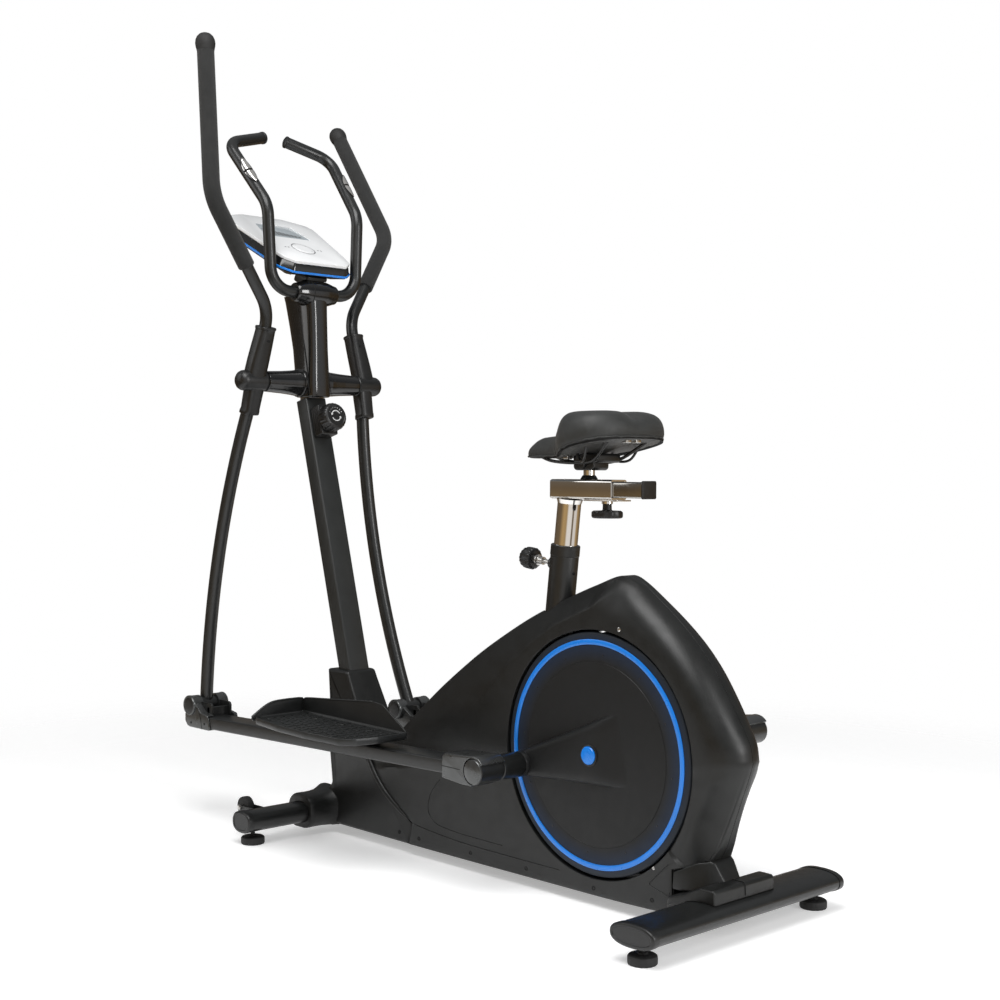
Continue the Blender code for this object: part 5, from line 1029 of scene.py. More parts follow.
# ---- crank -----------------------------------------------------------------------------
def make_crank(label, side):
    place = crank_frame(side)
    rim = [(0.0125, SIDE_X + 0.0002), (0.0400, SIDE_X + 0.0004), (0.1735, SIDE_X + 0.0004),
           (0.1752, SIDE_X + 0.0001), (0.1760, SIDE_X - 0.0010), (0.2050, SIDE_X - 0.0014),
           (0.2098, SIDE_X - 0.0010), (0.2180, SIDE_X - 0.0010), (0.2200, SIDE_X - 0.0014),
           (0.2270, SIDE_X - 0.0020), (0.2305, SIDE_X - 0.0030), (DISC_RADIUS, SIDE_X - 0.0048),
           (DISC_RADIUS, SIDE_X - 0.0100), (DISC_RADIUS - 0.0040, SIDE_X - 0.0100),
           (DISC_RADIUS - 0.0050, SIDE_X - 0.0060), (0.0125, SIDE_X - 0.0050)]
    disc = lathe(rim, axis=(1, 0, 0), steps=160, ring=True)
    piece(f"{label}_disc_moulding", disc, place, "crank", DISC_PAINTED_GLOW, f"{label}_crank_disc", smooth=25)
    ring = lathe([(0.2082, SIDE_X - 0.0016), (0.2082, SIDE_X - 0.0002), (0.2090, SIDE_X + 0.0002),
                  (0.2175, SIDE_X + 0.0002), (0.2183, SIDE_X - 0.0002), (0.2183, SIDE_X - 0.0016)],
                 axis=(1, 0, 0), steps=160, ring=True)
    piece(f"{label}_blue_ring", ring, place, "crank", BLUE)
    rows, count = [], 40
    for k in range(31):
        y = -0.2055 + 0.292 * k / 30
        spread = max(0.0, min(1.0, (y + 0.2055) / 0.250))
        half = 0.0245 + 0.0430 * spread ** 1.1
        if y < -0.181:
            half = max(0.0, 0.0245 ** 2 - (y + 0.181) ** 2) ** 0.5 + 0.0002
        fade = max(0.0, min(1.0, (0.0865 - y) / 0.085))
        height = 0.0205 * (fade * fade * (3 - 2 * fade)) * (1.0 - 0.22 * spread) - 0.0010 * (1 - fade)
        row = []
        for n in range(count + 1):
            s = -1 + 2 * n / count
            crown = max(0.0, 1 - abs(s) ** 7) ** 0.6
            row.append((SIDE_X + 0.0002 + height * crown, y, half * s))
        row += [(SIDE_X - 0.0015, y, half), (SIDE_X - 0.0015, y, -half)]
        rows.append(row)
    wedge = skin(rows)
    boss = lathe([(0.0110, 0.0790), (0.0250, 0.0790), (0.0250, 0.0900), (0.0245, 0.0908),
                  (0.0245, 0.0916), (0.0250, 0.0924), (0.0250, 0.1474), (0.0238, 0.1490),
                  (0.0110, 0.1490)], (0, -CRANK_RADIUS, 0), (1, 0, 0), 72, ring=True)
    flare = lathe([(0.0110, 0.0600), (0.0252, 0.0600), (0.0252, 0.0800), (0.0110, 0.0800)],
                  (0, -CRANK_RADIUS, 0), (1, 0, 0), 64, soft=0.001, ring=True)
    piece(f"{label}_crank_moulding", [wedge], place, "crank", DISC_PAINTED_GLOW, f"{label}_crank_arm", smooth=32)
    piece(f"{label}_crank_boss", [boss, flare], place, "crank", STEEL)
    cap = lathe([(0, 0.0045), (0.0100, 0.0043), (0.0158, 0.0034), (0.0172, 0.0018),
                 (0.0174, -0.010), (0, -0.010)], (SIDE_X + 0.0170, 0, 0), (1, 0, 0), 64)
    collar = lathe([(0.0176, -0.010), (0.0176, 0.0004), (0.0190, 0.0010), (0.0204, 0.0002),
                    (0.0215, -0.0040), (0.0215, -0.010)], (SIDE_X + 0.0170, 0, 0), (1, 0, 0), 64,
                   ring=True)
    piece(f"{label}_hub_cap", cap, place, "crank", BLUE)
    piece(f"{label}_hub_collar", collar, place, "crank", PLASTIC)
    dots = []
    for k in range(12):
        angle = math.radians(30 * k + 12)
        dots.append(lathe([(0, 0.0007), (0.0012, 0.0006), (0.0016, 0.0), (0.0016, -0.001),
                           (0, -0.001)], (SIDE_X - 0.0011, 0.190 * math.cos(angle),
                                          0.190 * math.sin(angle)), (1, 0, 0), 16))
    piece(f"{label}_disc_dots", dots, place, "crank", PLASTIC)


# ---- housing ---------------------------------------------------------------------------
SHELL_EDGE = [
    (0.028, 0.630, 0.022), (0.062, 0.620, 0.021), (0.106, 0.590, 0.019), (0.155, 0.553, 0.017),
    (0.198, 0.515, 0.015), (0.235, 0.474, 0.013), (0.268, 0.428, 0.012), (0.298, 0.381, 0.012),
    (0.320, 0.342, 0.012), (0.326, 0.311, 0.012), (0.315, 0.278, 0.012), (0.299, 0.235, 0.014),
    (0.283, 0.190, 0.018), (0.269, 0.152, 0.024), (0.256, 0.129, 0.032), (0.226, 0.116, 0.046),
    (0.1925, 0.106, 0.055), (0.1925, 0.024, 0.055), (0.090, 0.021, 0.055), (0.000, 0.020, 0.055),
    (-0.090, 0.020, 0.055), (-0.200, 0.020, 0.055), (-0.350, 0.020, 0.055), (-0.548, 0.020, 0.053),
    (-0.535, 0.068, 0.055), (-0.590, 0.098, 0.055), (-0.640, 0.130, 0.054), (-0.690, 0.186, 0.050),
    (-0.672, 0.204, 0.044), (-0.632, 0.231, 0.036), (-0.590, 0.268, 0.032), (-0.548, 0.305, 0.030),
    (-0.470, 0.370, 0.026), (-0.371, 0.441, 0.024), (-0.299, 0.485, 0.024), (-0.207, 0.535, 0.024),
    (-0.097, 0.584, 0.024), (-0.030, 0.610, 0.024)]
SHARP = {9, 14, 16, 17, 23, 24, 27}
TOP_CREASE = [(0.055, 0.619), (0.026, 0.593), (-0.019, 0.566), (-0.066, 0.546), (-0.141, 0.508),
              (-0.205, 0.462), (-0.263, 0.415), (-0.323, 0.351), (-0.400, 0.268)]
REAR_CREASE = [(0.200, 0.128), (0.235, 0.212), (0.265, 0.264), (0.307, 0.292), (0.326, 0.312)]


def smooth_edge():
    """The shell's edge as a fine closed line, smooth but for its sharp corners."""
    count = len(SHELL_EDGE)
    result = []
    for i in range(count):
        b, c = Vector(SHELL_EDGE[i]), Vector(SHELL_EDGE[(i + 1) % count])
        a = 2 * b - c if i in SHARP else Vector(SHELL_EDGE[i - 1])
        d = 2 * c - b if (i + 1) % count in SHARP else Vector(SHELL_EDGE[(i + 2) % count])
        span = max((c - b).length, 1e-6)
        a = b + (a - b) * min(1.0, span / max((a - b).length, 1e-6))
        d = c + (d - c) * min(1.0, span / max((d - c).length, 1e-6))
        steps = max(2, round(span / 0.008))
        for k in range(steps):
            t = k / steps
            result.append(0.5 * (2 * b + (c - a) * t + (2 * a - 5 * b + 4 * c - d) * t ** 2
                                 + (3 * b - a - 3 * c + d) * t ** 3))
    return result


def polar(y, z):
    angle = math.degrees(math.atan2(z - CRANK_Z, y))
    return (angle + 360 if angle < -60 else angle), math.hypot(y, z - CRANK_Z)


def crease_at(angle, line):
    """Distance from the crank axis to a crease at this angle, or None outside its span."""
    points = sorted(polar(y, z) for y, z in line)
    if not points[0][0] <= angle <= points[-1][0]:
        return None
    for (a0, r0), (a1, r1) in zip(points, points[1:]):
        if a0 <= angle <= a1:
            return r0 + (r1 - r0) * (angle - a0) / max(a1 - a0, 1e-9)
    return None


LIP = DISC_RADIUS + DISC_CLEARANCE
EDGE = smooth_edge()


def smooth_step(value, start, end):
    share = max(0.0, min(1.0, (value - start) / (end - start)))
    return share * share * (3 - 2 * share)


def roundness(angle):
    """How far the edge is a rounded keel: all the way at the rear, not at all at the front."""
    return smooth_step(angle, -22.0, 8.0) * (1 - smooth_step(angle, 72.0, 92.0))


def side_height(angle, radius, reach, width):
    """How far the shell's face stands out at this distance from the crank axis."""
    t = max(0.0, min(1.0, (radius - LIP) / max(reach - LIP, 1e-6)))
    top, rear = crease_at(angle, TOP_CREASE), crease_at(angle, REAR_CREASE)
    if angle > 190 or (-60 < angle < -39):
        return width + (SIDE_X - width) * (1 - t ** 9) ** 0.7
    crisp = width + (SIDE_X + 0.001 - width) * (1 - t ** 2.3) ** 0.85
    if top is not None:
        c = (top - LIP) / max(reach - LIP, 1e-6)
        fade = min(1.0, max(0.0, (186 - angle) / 22)) * smooth_step(angle, 80.5, 92.0)
        if t < c:
            form = SIDE_X - 0.0015 * (t / max(c, 1e-6)) ** 2
        else:
            form = SIDE_X - 0.0015 + (width - SIDE_X + 0.0015) * ((t - c) / max(1 - c, 1e-6)) ** 1.15
        crisp += (form - crisp) * fade
    if rear is not None:
        c = (rear - LIP) / max(reach - LIP, 1e-6)
        fade = smooth_step(-angle, -3.9, 2.0)
        level = SIDE_X - 0.0060 * c
        if t < c:
            form = level - 0.0030 * (t / max(c, 1e-6)) ** 2
        else:
            form = level - 0.0030 + (width - level + 0.0030) * ((t - c) / max(1 - c, 1e-6)) ** 1.5
        crisp += (form - crisp) * fade
    keel = 0.0008 + (SIDE_X + 0.0005 - 0.0008) * (1 - t ** 2.9) ** 0.52
    return crisp + (keel - crisp) * roundness(angle)


def make_shell(label, side):
    info = [(p[2], *polar(p[0], p[1])) for p in EDGE]
    lip = [(math.radians(angle), reach, width) for width, angle, reach in info]
    rows = []
    for depth, extra in ((0.0120, 0.0), (0.0020, 0.0), (0.0006, 0.0004)):
        rows.append([(SIDE_X - depth, (LIP + extra) * math.cos(a), CRANK_Z + (LIP + extra) * math.sin(a))
                     for a, reach, width in lip])
    creases = [crease_at(angle, TOP_CREASE) or crease_at(angle, REAR_CREASE)
               for width, angle, reach in info]
    count = 34
    for k in range(count + 7):
        row = []
        for (width, angle, reach), crease in zip(info, creases):
            a, keel = math.radians(angle), roundness(angle)
            start, span = LIP + 0.0014, reach - LIP - 0.0014
            if k <= count:
                radius = start + (span - 0.0036) * k / count
                if crease and crease < reach - 0.006 and abs(radius - crease) < span / count * 0.5:
                    radius = crease
                crisp = (side_height(angle, radius, reach, width), radius)
            else:
                turn = math.radians(18 * (k - count))
                crisp = ((width - 0.0036 + 0.0036 * math.cos(turn), reach - 0.0036
                          + 0.0036 * math.sin(turn)) if k < count + 6 else (0.0008, reach))
            share = 1 - (1 - k / (count + 6)) ** 1.9
            radius = start + span * share
            whole = (side_height(angle, radius, reach, width) if k < count + 6 else 0.0008, radius)
            x = crisp[0] + (whole[0] - crisp[0]) * keel
            r = crisp[1] + (whole[1] - crisp[1]) * keel
            row.append((x, r * math.cos(a), CRANK_Z + r * math.sin(a)))
        rows.append(row)
    rows.append([(0.0004, r * math.cos(a), CRANK_Z + r * math.sin(a))
                 for a, reach, width in lip for r in (reach - 0.0006,)])
    shell = skin(rows, caps=(False, False))
    obj = loose_object("shell_wall", shell)
    wall = obj.modifiers.new("wall", "SOLIDIFY")
    wall.thickness, wall.offset = 0.0026, -1.0
    apply_modifiers(obj)
    solid = bmesh.new()
    solid.from_mesh(obj.data)
    bpy.data.objects.remove(obj, do_unlink=True)
    seat = moved(lathe([(0, 0.05), (0.0300, 0.05), (0.0300, -0.25), (0, -0.25)], steps=64),
                 WORLD.inverted() @ SEAT)
    beam = block((-0.021, -0.9, 0.034), (0.021, 0.4, 0.076), 0, 0)
    piece(f"{label}_shell_moulding", carve(solid, seat, beam), WORLD @ flip(side), "frame", SHELL,
          f"{label}_housing_shell", smooth=28)


def face_x(y, z):
    """The shell's outer face at (y, z)."""
    angle, radius = polar(y, z)
    best = min(((abs(polar(p[0], p[1])[0] - angle), p) for p in EDGE), key=lambda item: item[0])[1]
    return side_height(angle, radius, polar(best[0], best[1])[1], best[2])


def on_face(points, lift=0.0002, steps=6):
    flat = smooth_path([(0, y, z) for y, z in points], steps)
    return [(face_x(p.y, p.z) + lift, p.y, p.z) for p in flat]


def make_shell_details(label, side):
    place = WORLD @ flip(side)
    band = [(-0.527, 0.068), (-0.440, 0.0605), (-0.366, 0.056), (-0.237, 0.054), (-0.090, 0.053)]
    panel = [(-0.440, 0.178), (-0.466, 0.150), (-0.477, 0.122), (-0.476, 0.102), (-0.462, 0.088),
             (-0.443, 0.080), (-0.387, 0.0745), (-0.333, 0.073), (-0.250, 0.072)]
    lines = [sweep(on_face(band), 0.0011, 12), sweep(on_face(panel), 0.0009, 12)]
    frame_line = rounded([(0, 0.183, 0.116), (0, 0.135, 0.071), (0, 0.184, 0.058), (0, 0.1905, 0.080)],
                         0.004, 4)
    lines.append(sweep([(face_x(p.y, p.z) + 0.0002, p.y, p.z) for p in frame_line], 0.0009, 12))
    piece(f"{label}_shell_lines", lines, place, "frame", SHELL)
    # Painted shade: near-black rims and discs in the screw holes.
    holes = []
    for y, z in ((-0.508, 0.040), (-0.345, 0.040), (-0.182, 0.039), (0.000, 0.036), (0.145, 0.043)):
        x = face_x(y, z)
        holes.append(lathe([(0.0026, 0.0008), (0.0042, 0.0006), (0.0047, -0.0006), (0.0047, -0.002),
                            (0.0026, -0.002)], (x, y, z), (1, 0, 0), 28, ring=True))
        holes.append(lathe([(0, -0.0002), (0.0030, -0.0002), (0.0030, -0.002), (0, -0.002)], (x, y, z),
                           (1, 0, 0), 20))
    piece(f"{label}_shell_screw_hole_shade", holes, place, "frame", HOLE_SHADE_AND_BLACK_SCREW)
    bright = [screw_head((face_x(0.060, 0.533) + 0.0002, 0.060, 0.533), (1, 0, 0), 0.0042),
              screw_head((0.0592, 0.148, 0.1025), (1, 0, 0), 0.0030)]
    piece(f"{label}_shell_screws", bright, place, "frame", BOLT)
    # Painted shade: a near-black oval where the slot near the peak is.
    slot = prism(oval(0.020, 0.010, 2.2, 40), -0.0025, 0.0006, "XY", 0.0004)
    piece(f"{label}_peak_slot_shade", slot, place @ at(0.0330, 0.034, 0.6015)
          @ Matrix.Rotation(math.radians(62), 4, "Y") @ Matrix.Rotation(math.radians(-40), 4, "Z"),
          "frame", HOLE_SHADE_AND_BLACK_SCREW)


def make_front_cover():
    seam = 0.0015
    outline = [(-0.549 - seam, 0.018), (-0.539, 0.067), (-0.641 - seam, 0.128),
               (-0.692 - seam, 0.187), (-0.700, 0.203), (-0.728, 0.275), (-0.770, 0.352),
               (-0.779, 0.3705), (-0.851, 0.3705), (-0.842, 0.300), (-0.836, 0.190),
               (-0.824, 0.112), (-0.852, 0.086), (-0.852, 0.030), (-0.800, 0.0200)]
    radii = [0.002, 0.002, 0.03, 0.03, 0.03, 0.05, 0.012, 0.012, 0.004, 0.05, 0.06, 0.015, 0.01,
             0.01, 0.03]
    fine = [tuple(p)[:2] for p in rounded([(a, b, 0) for a, b in outline], radii, 6, closed=True)]

    def waist(z):
        return 0.0500 - 0.0085 * max(0.0, min(1.0, (z - 0.16) / 0.21))

    rows = []
    for x, d in ((1.0, 0.0080), (0.985, 0.0040), (0.94, 0.0012), (0.86, 0.0)):
        rows.append([(x * waist(p[1]), p[0], p[1]) for p in inset(fine, d)])
    rows += [[(-p[0], p[1], p[2]) for p in row] for row in reversed(rows)]
    body = skin(rows)
    passage = skin([[(x, y, z) for y, z in oval(0.0655, 0.0475, centre=(FRONT_Y, FRONT_Z))]
                    for x in (-0.2, 0.2)])
    mast = moved(block((-0.0306, -0.0206, -0.9), (0.0306, 0.0206, 0.0), 0.005, 0, "XY"),
                 WORLD.inverted() @ MAST)
    sleeves = []
    for _, side in SIDES:
        centre = (FRONT_Y, FRONT_Z + 0.002)
        levels = [(0.040, 0.110, 0.104), (0.052, 0.100, 0.092), (0.064, 0.092, 0.084),
                  (0.080, 0.087, 0.080), (0.104, 0.0860, 0.0790), (0.1045, 0.0890, 0.0800),
                  (0.116, 0.0890, 0.0800), (0.1190, 0.0860, 0.0780), (0.1200, 0.0800, 0.0720)]
        ring = skin([[(x * side, y, max(z, 0.0165)) for y, z in oval(deep, high, 2.3, 72, centre)]
                     for x, deep, high in levels])
        sleeves.append(carve(ring, passage.copy()))
    parts = [carve(body, passage, mast)] + sleeves
    piece("front_moulding", parts, WORLD, "frame", SHELL, "front_housing_cover", smooth=36)
    for label, side in SIDES:
        flange = smooth_path([(0.0512, -0.706, 0.232), (0.0526, -0.690, 0.196), (0.0545, -0.664, 0.160),
                              (0.0560, -0.630, 0.127), (0.0566, -0.590, 0.100),
                              (0.0566, -0.545, 0.074)])
        trim = sweep(flange, [0.0005 + 0.0056 * math.sin(math.pi * k / (len(flange) - 1)) ** 0.5
                              for k in range(len(flange))], 20, ends=0)
        piece(f"{label}_front_flange", trim, WORLD @ flip(side), "frame", SHELL)
        # Painted shade: a near-black disc in the screw hole.
        holes = [lathe([(0, 0.0004), (0.0040, 0.0004), (0.0046, -0.0004), (0.0046, -0.002),
                        (0, -0.002)], (0.0500, -0.583, 0.040), (1, 0, 0), 24)]
        piece(f"{label}_front_screw_hole_shade", holes, WORLD @ flip(side), "frame", HOLE_SHADE_AND_BLACK_SCREW)


def make_skirt():
    """The low cover over the rear joint: a flat-topped block with fenders, and a narrow tail."""
    fenders = [(0.200, 0.034), (0.204, 0.068), (0.2205, 0.0725), (0.243, 0.080), (0.262, 0.090),
               (0.279, 0.0975), (0.3065, 0.0972), (0.3105, 0.0920), (0.3116, 0.072), (0.300, 0.040),
               (0.240, 0.030)]
    passage = skin([[(x, y, z) for y, z in oval(REAR_DEPTH + 0.0015, REAR_HEIGHT + 0.0015,
                                                centre=(REAR_Y, REAR_Z))] for x in (-0.2, 0.2)])
    beam = block((-0.0210, 0.18, 0.015), (0.0210, 0.255, 0.076), 0, 0)
    under = block((-0.19, 0.2385, 0.0), (0.19, 0.4, REAR_Z - 0.0065), 0, 0)
    arch = rod((-0.2, 0.222, 0.034), (0.2, 0.222, 0.034), 0.0240, 0, 48)
    fender_block = prism(fenders, -0.088, 0.088, "YZ", 0.0045, 0.005)
    rows = []
    for y, top, half, foot in ((0.1935, 0.1060, 0.0570, 0.0600), (0.2050, 0.1120, 0.0560, 0.0600),
                               (0.2200, 0.1190, 0.0520, 0.0590), (0.2380, 0.1270, 0.0430, 0.0570),
                               (0.2560, 0.1310, 0.0310, 0.0530), (0.2640, 0.1270, 0.0270, 0.0500),
                               (0.2720, 0.1140, 0.0250, 0.0440), (0.2800, 0.1010, 0.0230, 0.0360),
                               (0.2840, 0.0950, 0.0210, 0.0300)):
        side = rounded([(foot, y, 0.072), (half, y, top), (-half, y, top), (-foot, y, 0.072)], 0.006, 5,
                       closed=True)
        rows.append([tuple(p) for p in side])
    parts = [carve(skin(rows), beam.copy()), carve(fender_block, passage, beam, under, arch)]
    piece("rear_skirt_moulding", parts, WORLD, "frame", SHELL, "rear_skirt_cover", smooth=36)
    # Painted shade: a near-black line in the seam gap.
    seam = sweep(rounded([(0, 0.2800, 0.0980), (0, 0.3068, 0.0978), (0, 0.3110, 0.0925),
                          (0, 0.3120, 0.0740)], 0.003, 4), 0.0009, 10)
    piece("rear_skirt_seam_shade", seam, WORLD, "frame", HOLE_SHADE_AND_BLACK_SCREW)
    # Painted shade: a near-black disc in the screw hole.
    screw = lathe([(0, 0.0004), (0.0036, 0.0004), (0.0042, -0.0004), (0.0042, -0.002), (0, -0.002)],
                  (0.0535, 0.2120, 0.086), (1, 0, 0), 24)
    piece("rear_skirt_screw_hole_shade", screw, WORLD, "frame", HOLE_SHADE_AND_BLACK_SCREW)


# ---- seat ------------------------------------------------------------------------------
def make_seat_post():
    top = (CARRIAGE_BOTTOM - SEAT_TOP_Z) / math.cos(math.radians(SEAT_LEAN)) - 0.0005
    post = lathe([(0.0195, -0.165), (0.0235, -0.165), (0.0235, top), (0.0195, top)], steps=80,
                 ring=True)
    holes = [rod((0, -0.0195, PIN_ALONG + 0.02 * k), (0, -0.05, PIN_ALONG + 0.02 * k), 0.0056, 0, 28)
             for k in range(-5, 4)]
    piece("post_tube", carve(post, *holes), SEAT, "seat_post", CHROME, "seat_post")
    section = [(-0.0225, CARRIAGE_BOTTOM), (0.0225, CARRIAGE_BOTTOM), (0.0225, CARRIAGE_TOP),
               (-0.0225, CARRIAGE_TOP)]
    line = [tuple(p)[:2] for p in rounded([(a, b, 0) for a, b in section], 0.0052, 6, closed=True)]
    rows = []
    for y, d in ((CARRIAGE_FRONT, 0.0052), (CARRIAGE_FRONT + 0.0008, 0.0026),
                 (CARRIAGE_FRONT + 0.0026, 0.0008), (CARRIAGE_FRONT + 0.0052, 0.0),
                 (CARRIAGE_REAR - 0.0004, 0.0), (CARRIAGE_REAR, 0.0004), (CARRIAGE_REAR, 0.0031),
                 (CARRIAGE_REAR - 0.0004, 0.0035), (CARRIAGE_FRONT + 0.0060, 0.0035)):
        rows.append([(p[0], y, p[1]) for p in inset(line, d)])
    slot = block((-0.0130, STEM_Y - 0.075, CARRIAGE_TOP - 0.01), (0.0130, STEM_Y + 0.057,
                                                                 CARRIAGE_TOP + 0.01), 0.010, 0, "XY")
    channel = carve(skin(rows), slot)
    flange = block((-0.0215, -0.072, CARRIAGE_BOTTOM - 0.0032), (0.0215, CARRIAGE_REAR + 0.014,
                                                                CARRIAGE_BOTTOM - 0.0002), 0.004,
                   0.0006, "XY")
    nut = lathe([(0.0050, -0.0090), (0.0100, -0.0090), (0.0108, -0.0080), (0.0108, -0.0020),
                 (0.0050, -0.0020)], (0, -0.027, CARRIAGE_BOTTOM), steps=40, ring=True)
    weld = lathe([(0.0232, -0.004), (0.0262, -0.0005), (0.0245, -0.0060), (0.0236, -0.0090)],
                 (0, SEAT_TOP_Y + 0.0106, CARRIAGE_BOTTOM), (0, 0.113, 0.9936), 64, ring=True)
    piece("seat_carriage", [channel, flange, nut, weld], WORLD, "seat_post", CHROME)


def make_slider():
    low, high = CARRIAGE_BOTTOM + 0.0039, CARRIAGE_TOP - 0.0039
    bar = block((-0.0186, CARRIAGE_FRONT + 0.0675, low), (0.0186, BAR_END - 0.002, high), 0.003, 0.001,
                "XZ")
    piece("slider_bar_tube", bar, WORLD, "saddle", DARK_CHROME, "seat_slider_bar")
    cap = [block((-0.0202, BAR_END - 0.0040, low - 0.0014), (0.0202, BAR_END, high + 0.0024), 0.0034,
                 0.0012, "XZ")]
    piece("slider_bar_cap", cap, WORLD, "saddle", PLASTIC)
    stem = [lathe([(0, high - 0.004), (0.0112, high - 0.004), (0.0112, SADDLE_BOTTOM - 0.004),
                   (0, SADDLE_BOTTOM - 0.004)], (0, STEM_Y, 0), steps=56)]
    piece("saddle_stem", stem, WORLD, "saddle", CHROME)
    collar = lathe([(0.0113, 0.0001), (0.0166, 0.0001), (0.0172, 0.0009), (0.0150, 0.0045),
                    (0.0128, 0.0077), (0.0113, 0.0083)], (0, STEM_Y, CARRIAGE_TOP), steps=56, ring=True)
    piece("stem_collar", collar, WORLD, "saddle", PLASTIC)


SADDLE_PLAN = [(-0.232, 0.0), (-0.230, 0.014), (-0.222, 0.026), (-0.200, 0.036), (-0.160, 0.043),
               (-0.120, 0.056), (-0.085, 0.087), (-0.050, 0.112), (-0.015, 0.120), (0.020, 0.112),
               (0.046, 0.084), (0.058, 0.045), (0.060, 0.0)]


def saddle_line(steps=5):
    """The saddle's outline as fine points, from the nose round the left side."""
    half = smooth_path([(w, y, 0) for y, w in SADDLE_PLAN], steps)
    half = [Vector((max(p.x, 0.0), p.y, 0)) for p in half]
    return half + [Vector((-p.x, p.y, 0)) for p in reversed(half[1:-1])]


SADDLE_FLOOR, SADDLE_TALL = SADDLE_BOTTOM + 0.0124, 0.0806


def saddle_rim(y):
    """Height of the saddle's lower edge: low in front of the wings, higher at the tail."""
    return SADDLE_FLOOR - 0.0045 + 0.0365 * max(0.0, min(1.0, (y + 0.085) / 0.145)) ** 0.8


def saddle_top(x, y):
    """Height of the saddle's top, with the nose below the wings and a shallow middle groove."""
    drop = 0.0460 * smooth_step(-y, 0.050, 0.160) + 0.0050 * smooth_step(-y, 0.160, 0.232)
    groove = 0.0045 * math.exp(-(x / 0.015) ** 2) * smooth_step(y, -0.12, -0.03)
    return SADDLE_FLOOR + SADDLE_TALL - drop - groove


def saddle_ring(line, inward, rise):
    """One ring of the cushion, drawn in towards the saddle's spine."""
    ring = []
    for p in line:
        spine = Vector((0.0, max(-0.205, min(0.018, p.y)), 0.0))
        away = p - spine
        length = max(away.length, 1e-6)
        q = spine + away * max(0.04, 1 - inward / max(length, 0.022))
        rim = saddle_rim(p.y)
        ring.append((q.x, q.y, rim + (saddle_top(q.x, q.y) - rim) * rise))
    return ring


def make_saddle():
    line = saddle_line()
    shape = ((0.0160, 0.05), (0.0080, 0.015), (0.0024, 0.0), (0.0, 0.08), (-0.0010, 0.26),
             (0.0006, 0.46), (0.0046, 0.64), (0.0105, 0.78), (0.0190, 0.885), (0.0300, 0.95),
             (0.0450, 0.985), (0.0650, 1.0), (0.0900, 1.0))
    cushion = skin([saddle_ring(line, inward, rise) for inward, rise in shape])
    obj = piece("saddle_cover", cushion, WORLD, "saddle", VINYL, "saddle_cushion", smooth=70)
    puff(obj)
    surface = BVHTree.FromPolygons([v.co for v in obj.data.vertices],
                                   [tuple(p.vertices) for p in obj.data.polygons])

    def along_skin(points, radius, steps=5):
        flat = []
        for p in smooth_path(points, steps):
            hit, normal, _, _ = surface.find_nearest(WORLD @ Vector(p))
            flat.append(WORLD.inverted() @ (hit + normal * radius * 0.3))
        return sweep(flat, radius, 12, ends=0)

    edge = [Vector((p[0], p[1], saddle_rim(p[1]))) for p in line]
    seams = [along_skin(edge + edge[:1], 0.0019, 1)]
    for side in (1, -1):
        seams.append(along_skin([(side * 0.078, -0.094, 0.856), (side * 0.074, -0.094, 0.872),
                                 (side * 0.066, -0.092, 0.892), (side * 0.052, -0.086, 0.912),
                                 (side * 0.032, -0.076, 0.930), (side * 0.010, -0.070, 0.936)],
                                0.0012))
    piece("saddle_piping", seams, WORLD, "saddle", VINYL)
    rows = [[(x, y, z + lift) for x, y, z in saddle_ring(line, inward, 0.0)]
            for inward, lift in ((0.0190, 0.0060), (0.0120, 0.0010), (0.0065, -0.0006),
                                 (0.0060, 0.0030), (0.0110, 0.0060))]
    low = SADDLE_BOTTOM - 0.0168
    clamp = [block((-0.0225, STEM_Y - 0.022, low), (0.0225, STEM_Y + 0.032, SADDLE_BOTTOM + 0.012),
                   0.008, 0.003),
             rod((-0.029, STEM_Y + 0.005, low + 0.011), (0.029, STEM_Y + 0.005, low + 0.011), 0.0080),
             block((-0.034, STEM_Y - 0.012, SADDLE_BOTTOM - 0.002), (0.034, STEM_Y + 0.052,
                                                                   SADDLE_BOTTOM + 0.016), 0.006,
                   0.003)]
    piece("saddle_pan", skin(rows), WORLD, "saddle", PAN, "saddle_base")
    piece("saddle_clamp", clamp, WORLD, "saddle", PLASTIC)
    rails = []
    for side in (1, -1):
        path = smooth_path([(side * 0.020, -0.190, saddle_rim(-0.19) + 0.003),
                            (side * 0.024, -0.150, SADDLE_BOTTOM + 0.001),
                            (side * 0.028, -0.085, SADDLE_BOTTOM - 0.002),
                            (side * 0.036, -0.030, SADDLE_BOTTOM + 0.004),
                            (side * 0.056, 0.022, saddle_rim(0.022) + 0.001)])
        rails.append(sweep(path, 0.0034, 16))
        loop = smooth_path([(side * 0.050, -0.062, saddle_rim(-0.062) + 0.002),
                            (side * 0.052, -0.050, SADDLE_BOTTOM + 0.002),
                            (side * 0.066, -0.028, SADDLE_BOTTOM + 0.004),
                            (side * 0.076, -0.012, saddle_rim(-0.012) + 0.002)])
        rails.append(sweep(loop, 0.0026, 14))
    piece("saddle_rails", rails, WORLD, "saddle", STEEL)
    clips = []
    for side in (1, -1):
        for x, y in ((0.045, -0.090), (0.014, 0.034)):
            z = saddle_rim(y)
            clips.append(block((side * x - 0.0075, y - 0.006, z - 0.0035),
                               (side * x + 0.0075, y + 0.006, z + 0.0040), 0.002, 0.001))
    piece("saddle_clips", clips, WORLD, "saddle", BOLT)


PUFF_VOXEL, PUFF_PRESSURE, PUFF_FRAMES, PUFF_TRAVEL = 0.0050, 4.0, 20, 0.0040


